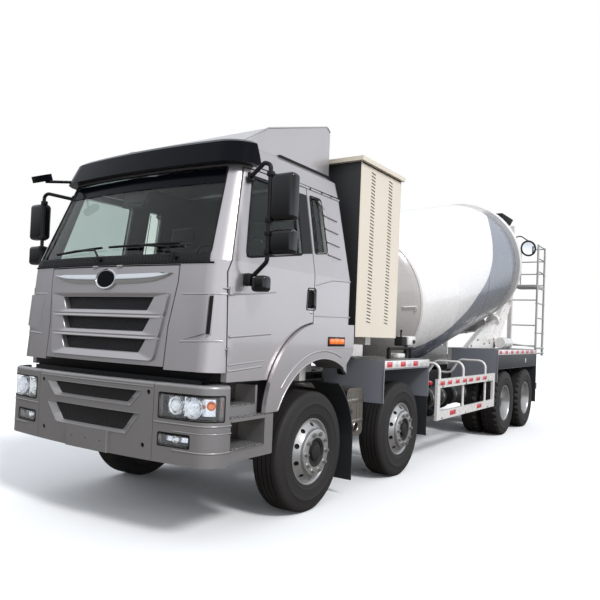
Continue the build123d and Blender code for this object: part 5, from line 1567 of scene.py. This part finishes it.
def strip(x, z, height, count, half, first):
    """White strip along a deck's edge with red reflectors and silver ones between them."""
    white = slab(x, (DECK_EDGE, DECK_EDGE + .004), (z, z + height), WHITE, .001)
    lights = []
    for i in range(count):
        red = first - REFLECTOR_PITCH * i
        for centre, size, lens in ((red, half, RED), (red - REFLECTOR_PITCH / 2, half * .55, PRISM)):
            if centre - size > min(x):
                lights.append(slab((centre - size, centre + size), (DECK_EDGE + .003, DECK_EDGE + .0065),
                                   (z + .012, z + height - .012), lens, .002))
    return white, lights


def deck_fittings():
    """Marking strips, tread plates on the decks, folded edges and the marker lamp under the rear one."""
    front, front_lights = strip((-1.292, -2.543), 1.256, .082, 3, .066, -1.410)
    rear, rear_lights = strip((-5.502, -8.118), 1.368, .080, 7, .078, -5.620)
    fit_pair("deck_strips", [front, rear], "chassis")
    fit_pair("deck_reflectors", front_lights + rear_lights, "chassis")
    plates = slabs([((-1.300, -2.535), (.50, 1.240), (1.3395, 1.3430)),
                    ((-5.510, -8.110), (.73, 1.240), (1.4495, 1.4530))], TREAD, .001)
    fit_pair("deck_plates", plates, "chassis")
    lip = slab((-5.510, -8.112), (1.2495, 1.2515), (1.133, 1.364), DARK_GREY, .001)
    fit_pair("deck_lip_shade", [lip], "chassis")
    edges = [tube([at(x, 1.246, low), at(x, 1.246, high)], .006, SATIN_SILVER)
             for x, low, high in ((-1.289, .882, 1.250), (-2.545, .882, 1.250), (-5.499, .922, 1.365))]
    fit_pair("deck_edges", edges, "chassis")
    lamp = slab((-7.295, -7.250), (1.250, 1.2585), (1.205, 1.285), PRISM, .010, 3)
    fit_pair("side_marker_lamps", [lamp], "chassis")


KNOB = ((0, 0), (0, .024), (.010, .028), (.020, .020), (.020, 0))
LEVER = ((0, 0), (0, .012), (.055, .010), (.075, .018), (.085, .012), (.085, 0))


def controls():
    """Control box on its post over the front deck, its dark lever housing, and the pipe rail."""
    parts = [slab((-2.400, -2.620), (.880, 1.030), (1.500, 1.615), WHITE, .014, 3),
             slab((-2.255, -2.395), (.900, 1.010), (1.490, 1.605), CAST, .012, 3),
             slab((-2.520, -2.480), (.930, .970), (1.343, 1.505), CAST, .004),
             slab((-2.10, -2.30), (.92, 1.04), (1.343, 1.405), WHITE, .020, 3),
             tube([at(-1.780, 1.06, 1.465), at(-2.545, 1.02, 1.465)], .018, CAST),
             lathe(KNOB, at(-2.545, 1.030, 1.545), LEFT, CAST, 24),
             lathe(LEVER, at(-2.33, .955, 1.604), UP, CAST, 20)]
    parts += slabs([((x - .02, x + .02), (1.03, 1.07), (1.343, 1.465)) for x in (-1.80, -2.42)], CAST, .004)
    fit("control_box", parts, "chassis")


UPPER_REFLECTORS = ((-2.99, -3.15), (-3.27, -3.42), (-3.57, -3.72), (-3.87, -4.03), (-4.14, -4.30),
                    (-4.46, -4.63), (-4.79, -4.96))
LOWER_REFLECTORS = ((-3.38, -3.60), (-4.53, -4.74))


def guards():
    """Reflectors and clamp bolts on the side guards."""
    face = (GUARD_FACE - .001, GUARD_FACE + .003)
    lights = []
    for front, rear in UPPER_REFLECTORS:
        lights.append(slab((front, rear), face, (.990, 1.044), RED, .003))
        lights.append(slab((front + .018, front + .062), (face[0], GUARD_FACE + .0025), (.990, 1.044),
                           PRISM, .003))
    lights += slabs([(x, face, (.572, .636)) for x in LOWER_REFLECTORS], RED, .003)
    bolts = [bolt(at(x, GUARD_FACE, z), LEFT, .012, NUTS)
             for x in (-3.080, -4.010, -5.040) for z in (.560, .975)]
    fit_pair("guard_reflectors", lights, "chassis")
    fit_pair("guard_bolts", bolts, "chassis")


FILLER_CAP = ((.05, 0), (.05, .044), (.085, .044), (.095, .036), (.095, 0))
OUTLET = ((-.01, .036), (-.01, .052), (.026, .052), (.032, .047), (.026, .042), (-.01, .040))


def tanks():
    """Bands round the air and fuel tanks, the red filler cap, and the silencer's bands, ribs and outlet."""
    bands = [band(.02, .148, .155, at(x, .82, .76), FORWARD, STAINLESS, 48)
             for x in (-3.45, -3.85, -4.35, -4.75)]
    bands += [band(.03, .288, .294, at(x, -.82, .76), FORWARD, STAINLESS, 64) for x in (-3.45, -4.40)]
    fit("tank_bands", bands, "chassis")
    filler, leaning = at(-3.53, .85, .905), (0, .25, 1)
    fit("tank_filler", [pin(-.02, .05, .030, filler, leaning, CAST, 24),
                        lathe(FILLER_CAP, filler, leaning, RED, 32)], "chassis")
    box = slabs([((-1.094, -.741), (1.106, 1.114), (z, z + .045)) for z in (.690, .905)], STAINLESS, .002)
    box += [tube([at(x, 1.110, .590), at(x, 1.110, 1.035)], .007, STAINLESS)
            for x in (-1.04, -.97, -.83, -.79)]
    box.append(lathe(OUTLET, at(-.900, 1.110, .665), LEFT, STAINLESS, 40))
    box.append(pin(0, .005, .042, at(-.900, 1.111, .665), LEFT, RUBBER, 32))
    fit("silencer_trim", box, "chassis")


TANK_SEAM = ((-.006, .269), (-.003, .273), (.003, .273), (.006, .269))
TANK_LID = ((-.02, 0), (-.02, .060), (.03, .060), (.03, .075), (.05, .070), (.055, 0))


def water_tank():
    """Straps, end seams, filler and sight tube of the water tank."""
    parts = [band(.03, .269, .275, TANK_CENTRE + Vector((0, y, 0)), LEFT, ZINC, 72) for y in (-.385, .385)]
    parts += [lathe(TANK_SEAM, TANK_CENTRE + Vector((0, y, 0)), LEFT, WHITE, 72) for y in (-.76, .76)]
    parts.append(lathe(TANK_LID, TANK_CENTRE + Vector((0, 0, TANK_RADIUS)), UP, WHITE, 40))
    sight = [at(-2.300, .74, 2.985), at(-2.460, .80, 2.985), at(-2.460, .80, 2.560), at(-2.300, .74, 2.560)]
    parts.append(tube(sight, .010, SATIN_SILVER, .02))
    parts += [pin(-.02, .02, .018, at(-2.460, .80, z), UP, CAST, 20) for z in (2.985, 2.560)]
    fit("water_tank_fittings", parts, "chassis")


HANDLE_ANGLE = math.radians(-4)
# Places on the handle: along the drum's axis, off the cone of its head, and turned from HANDLE_ANGLE.
DRUM_HANDLE = ((-.19, -.006, 0), (-.19, .035, 0), (-.08, .035, 0), (-.075, .035, -.06), (-.075, -.006, -.07))


def drum_handle():
    """Grab handle welded on the drum's front head."""
    route = [drum_place(along, HANDLE_ANGLE + turn, .5 + (along + .45) / .9 + lift)
             for along, lift, turn in DRUM_HANDLE]
    fit("drum_handle", [tube(route, .008, WHITE, .012)], "drum")


def flange(start, end, side, width, thickness, material):
    """Strip standing out from the pedestal's side face along a line between two (x, z) places."""
    a, b = (Vector((x, 0, z)) for x, z in (start, end))
    across = Vector((0, 1, 0)).cross((b - a).normalized()) * thickness
    corners = [at(p.x, side * PEDESTAL_FACE, p.z) for p in (a, b, b + across, a + across)]
    return plate(corners, (0, side * width, 0), material, .002)


STRUT_LINES = (((-5.66, 1.462), (-6.40, 1.780)), ((-6.40, 1.780), (-7.34, 1.984)),
               ((-7.34, 1.984), (-8.09, 2.602)), ((-7.31, 1.474), (-8.29, 2.405)),
               ((-6.90, 1.60), (-7.90, 2.32)))
STRUT_BOLTS = ((-5.90, 1.49), (-6.25, 1.60), (-6.62, 1.53), (-6.95, 1.55), (-7.20, 1.62), (-7.40, 1.90),
               (-7.62, 2.02), (-7.86, 2.22), (-8.10, 2.48))
DAMPER = ((-.02, 0), (-.02, .100), (.54, .100), (.56, .085), (.56, 0))
DAMPER_RIM = ((-.022, .098), (-.022, .108), (.01, .108), (.01, .098))
DAMPER_HUB = ((0, 0), (0, .066), (.035, .070), (.045, .040), (.060, .036), (.060, 0))
PIVOT = ((0, 0), (0, .040), (.012, .040), (.016, .030), (.016, 0))


def pedestal():
    """Flanges, ribs, bolts and the damper on the leaning side frames."""
    parts = []
    for side in (1, -1):
        parts += [flange(start, end, side, .040, .012, WHITE) for start, end in STRUT_LINES]
        parts += [bolt(at(x, side * PEDESTAL_FACE, z), (0, side, 0), .018, NUTS) for x, z in STRUT_BOLTS]
    parts.append(lathe(DAMPER, at(-7.20, .790, 1.555), BACK, WHITE, 48))
    parts.append(lathe(DAMPER_RIM, at(-7.38, .790, 1.555), BACK, WHITE, 48))
    fit("pedestal_flanges", parts, "chassis")
    hub = [lathe(DAMPER_HUB, at(-7.755, .790, 1.555), BACK, CAST, 40),
           tube([at(-7.80, .79, 1.552), at(-8.22, 1.18, 1.500)], .012, ZINC),
           lathe(PIVOT, at(-7.30, .660, 1.545), LEFT, CAST, 24)]
    fit("pedestal_hub", hub, "chassis")


HOPPER_FOOT = 3.420            # height at which the hopper's slopes start
HOPPER_RISE = 0.780


def hopper_wall(end, side, low, high, grow):
    """Places on one upright edge of the hopper at two heights; end is 1 in front and -1 at the back."""
    edge = []
    for z in (low, high):
        share = (z - HOPPER_FOOT) / HOPPER_RISE
        x = -7.980 + grow if end == 1 else -8.280 - .520 * share - grow
        edge.append(at(x, side * (.300 + .220 * share + grow), z))
    return edge


def hopper():
    """Rubber rim round the charging hopper and ribs on its sides."""
    walls = [hopper_wall(end, side, 4.060, 4.198, .004)
             for end, side in ((1, 1), (-1, 1), (-1, -1), (1, -1))]
    rubber = []
    for wall, following, push in zip(walls, walls[1:] + walls[:1],
                                     ((0, .008, 0), (-.008, 0, 0), (0, -.008, 0), (.008, 0, 0))):
        rubber.append(plate([wall[0], following[0], following[1], wall[1]], push, RUBBER, .002))
    fit("hopper_rubber", rubber, "chassis")
    ribs, off = [], Vector((.006, 0, 0))
    for side in (1, -1):
        front, rear = (hopper_wall(end, side, 3.46, 4.04, .001) for end in (1, -1))
        for share in (.30, .70):
            low, high = (a.lerp(b, share) for a, b in zip(front, rear))
            corners = [low - off, low + off, high + off, high - off]
            ribs.append(plate(corners, (0, side * .035, 0), WHITE, .002))
    fit("hopper_ribs", ribs, "chassis")


REAR_MIRROR = at(-8.23, 1.00, 3.490)
REAR_MIRROR_FACING = (.80, .60, .0)
MIRROR_SHELL = ((-.020, 0), (-.020, .120), (-.010, .152), (.010, .164), (.020, .158), (.022, .142),
                (.012, .128), (.006, .126), (.006, 0))
MIRROR_GLASS = ((.005, 0), (.005, .128), (.009, .127), (.013, .080), (.015, 0))


def rear_access():
    """Clamps on the ladder, bars of the platform, and the round mirror on its gooseneck."""
    parts = [band(.018, .0195, .0245, at(x, 1.200, z), UP, ZINC, 20)
             for x in (-8.810, -8.230) for z in (1.34, 1.42, 1.78, 2.38, 2.98)]
    parts += [tube([at(-8.822, 1.222, z), at(-8.16, 1.222, z)], .014, ZINC) for z in (1.37, 1.47)]
    bars = [((-8.80, -8.20), (y - .010, y + .010), (2.740, 2.752)) for y in steps(.77, 1.15, 9)]
    parts += slabs(bars, ZINC, .002)
    parts.append(tube([at(-8.812, 1.206, 2.78), at(-8.812, .73, 2.78), at(-8.22, .73, 2.78)], .010, ZINC,
                      .03))
    fit("ladder_fittings", parts, "chassis")
    arm = tube([at(-8.20, .76, 3.30), at(-8.20, .76, 3.74), at(-8.23, .86, 3.74), at(-8.23, 1.00, 3.64)],
               .012, ABS, .05)
    shell = lathe(MIRROR_SHELL, REAR_MIRROR, REAR_MIRROR_FACING, ABS, 48)
    fit("rear_mirror", [arm, shell], "chassis")
    glass = lathe(MIRROR_GLASS, REAR_MIRROR, REAR_MIRROR_FACING, CHROME, 48)
    fit("rear_mirror_glass", [glass], "chassis")


def tail_lamps():
    """Lamp clusters on the underrun bar, with red, amber and white lenses."""
    rear = UNDERRUN_REAR
    lights = []
    for side in (1, -1):
        lights.append(slab((rear - .022, rear), (side * .66, side * 1.12), (.652, .748), ABS, .008))
        for i, lens in enumerate((RED, RED, AMBER, PRISM)):
            y = .670 + .112 * i
            lights.append(slab((rear - .030, rear - .018), (side * y, side * (y + .104)), (.660, .740),
                               lens, .010, 3))
    fit("tail_lamps", lights, "chassis")


CHUTE_SLOPE = math.radians(10)


def chute_details():
    """Rolled rims and cross ribs on the chute."""
    down = Vector((0, -math.cos(CHUTE_SLOPE), -math.sin(CHUTE_SLOPE)))
    up = Vector((0, -math.sin(CHUTE_SLOPE), math.cos(CHUTE_SLOPE)))
    across = Vector(FORWARD)
    base = at(-8.500, -.060, 1.720) + up * .265
    parts = [tube([base + down * s + across * side * .205 + up * .004 for s in (-.245, 1.035)], .013, WHITE)
             for side in (1, -1)]
    for s in (.25, .60, .95):
        ring = [base + down * s + (across * math.cos(angle) + up * math.sin(angle)) * .216
                for angle in steps(math.pi, math.tau, 17)]
        parts.append(tube(ring, .008, WHITE))
    fit("chute_ribs", parts, "chute")


VISOR_LAMP = (.805, 3.040)     # a marker lamp's middle on the visor
VISOR_SKIN = 0.078             # how far the visor stands out from the cab's face


def visor():
    """Oval marker lamps and moulded seams on the sun visor, and the folded edges of the roof fairing."""
    lamps = []
    for side in (1, -1):
        middle_y, middle_z = side * VISOR_LAMP[0], VISOR_LAMP[1]
        turns = steps(0, math.tau, 25)[:-1]
        places = ring_on((middle_y, middle_z), (side * .042, .020), VISOR_SKIN, cab_front, turns)
        push = cab_front(middle_y, middle_z, VISOR_SKIN + .010) - cab_front(middle_y, middle_z, VISOR_SKIN)
        lamps.append(plate(places, push, PRISM, .003))
    fit("visor_lamps", lamps, "cab")
    seams = [bead([(y, 3.142), (y * .98, 2.945)], cab_front, .005, .0775, POLISHED_ABS)
             for y in (-.36, .36, -.98, .98)]
    fit("visor_seams", seams, "cab")
    edges = [tube([at(.780, y, 3.200), at(.450, y, 3.400), at(-.530, y, 3.698), at(-.588, y, 3.660)],
                  .007, SILVER, .05) for y in (-.880, .880)]
    fit("fairing_edges", edges, "cab")


set_camera()
light_studio()
lay_floor()
dress_nodes()
wheels()
drum()
lid()
windscreen()
interior()
mirrors()
doors()
cab_sides()
arches()
bumper()
lamps()
corners()
cab_steps()
visor()
cabinet()
deck_fittings()
controls()
guards()
tanks()
water_tank()
drum_handle()
pedestal()
hopper()
rear_access()
tail_lamps()
chute_details()
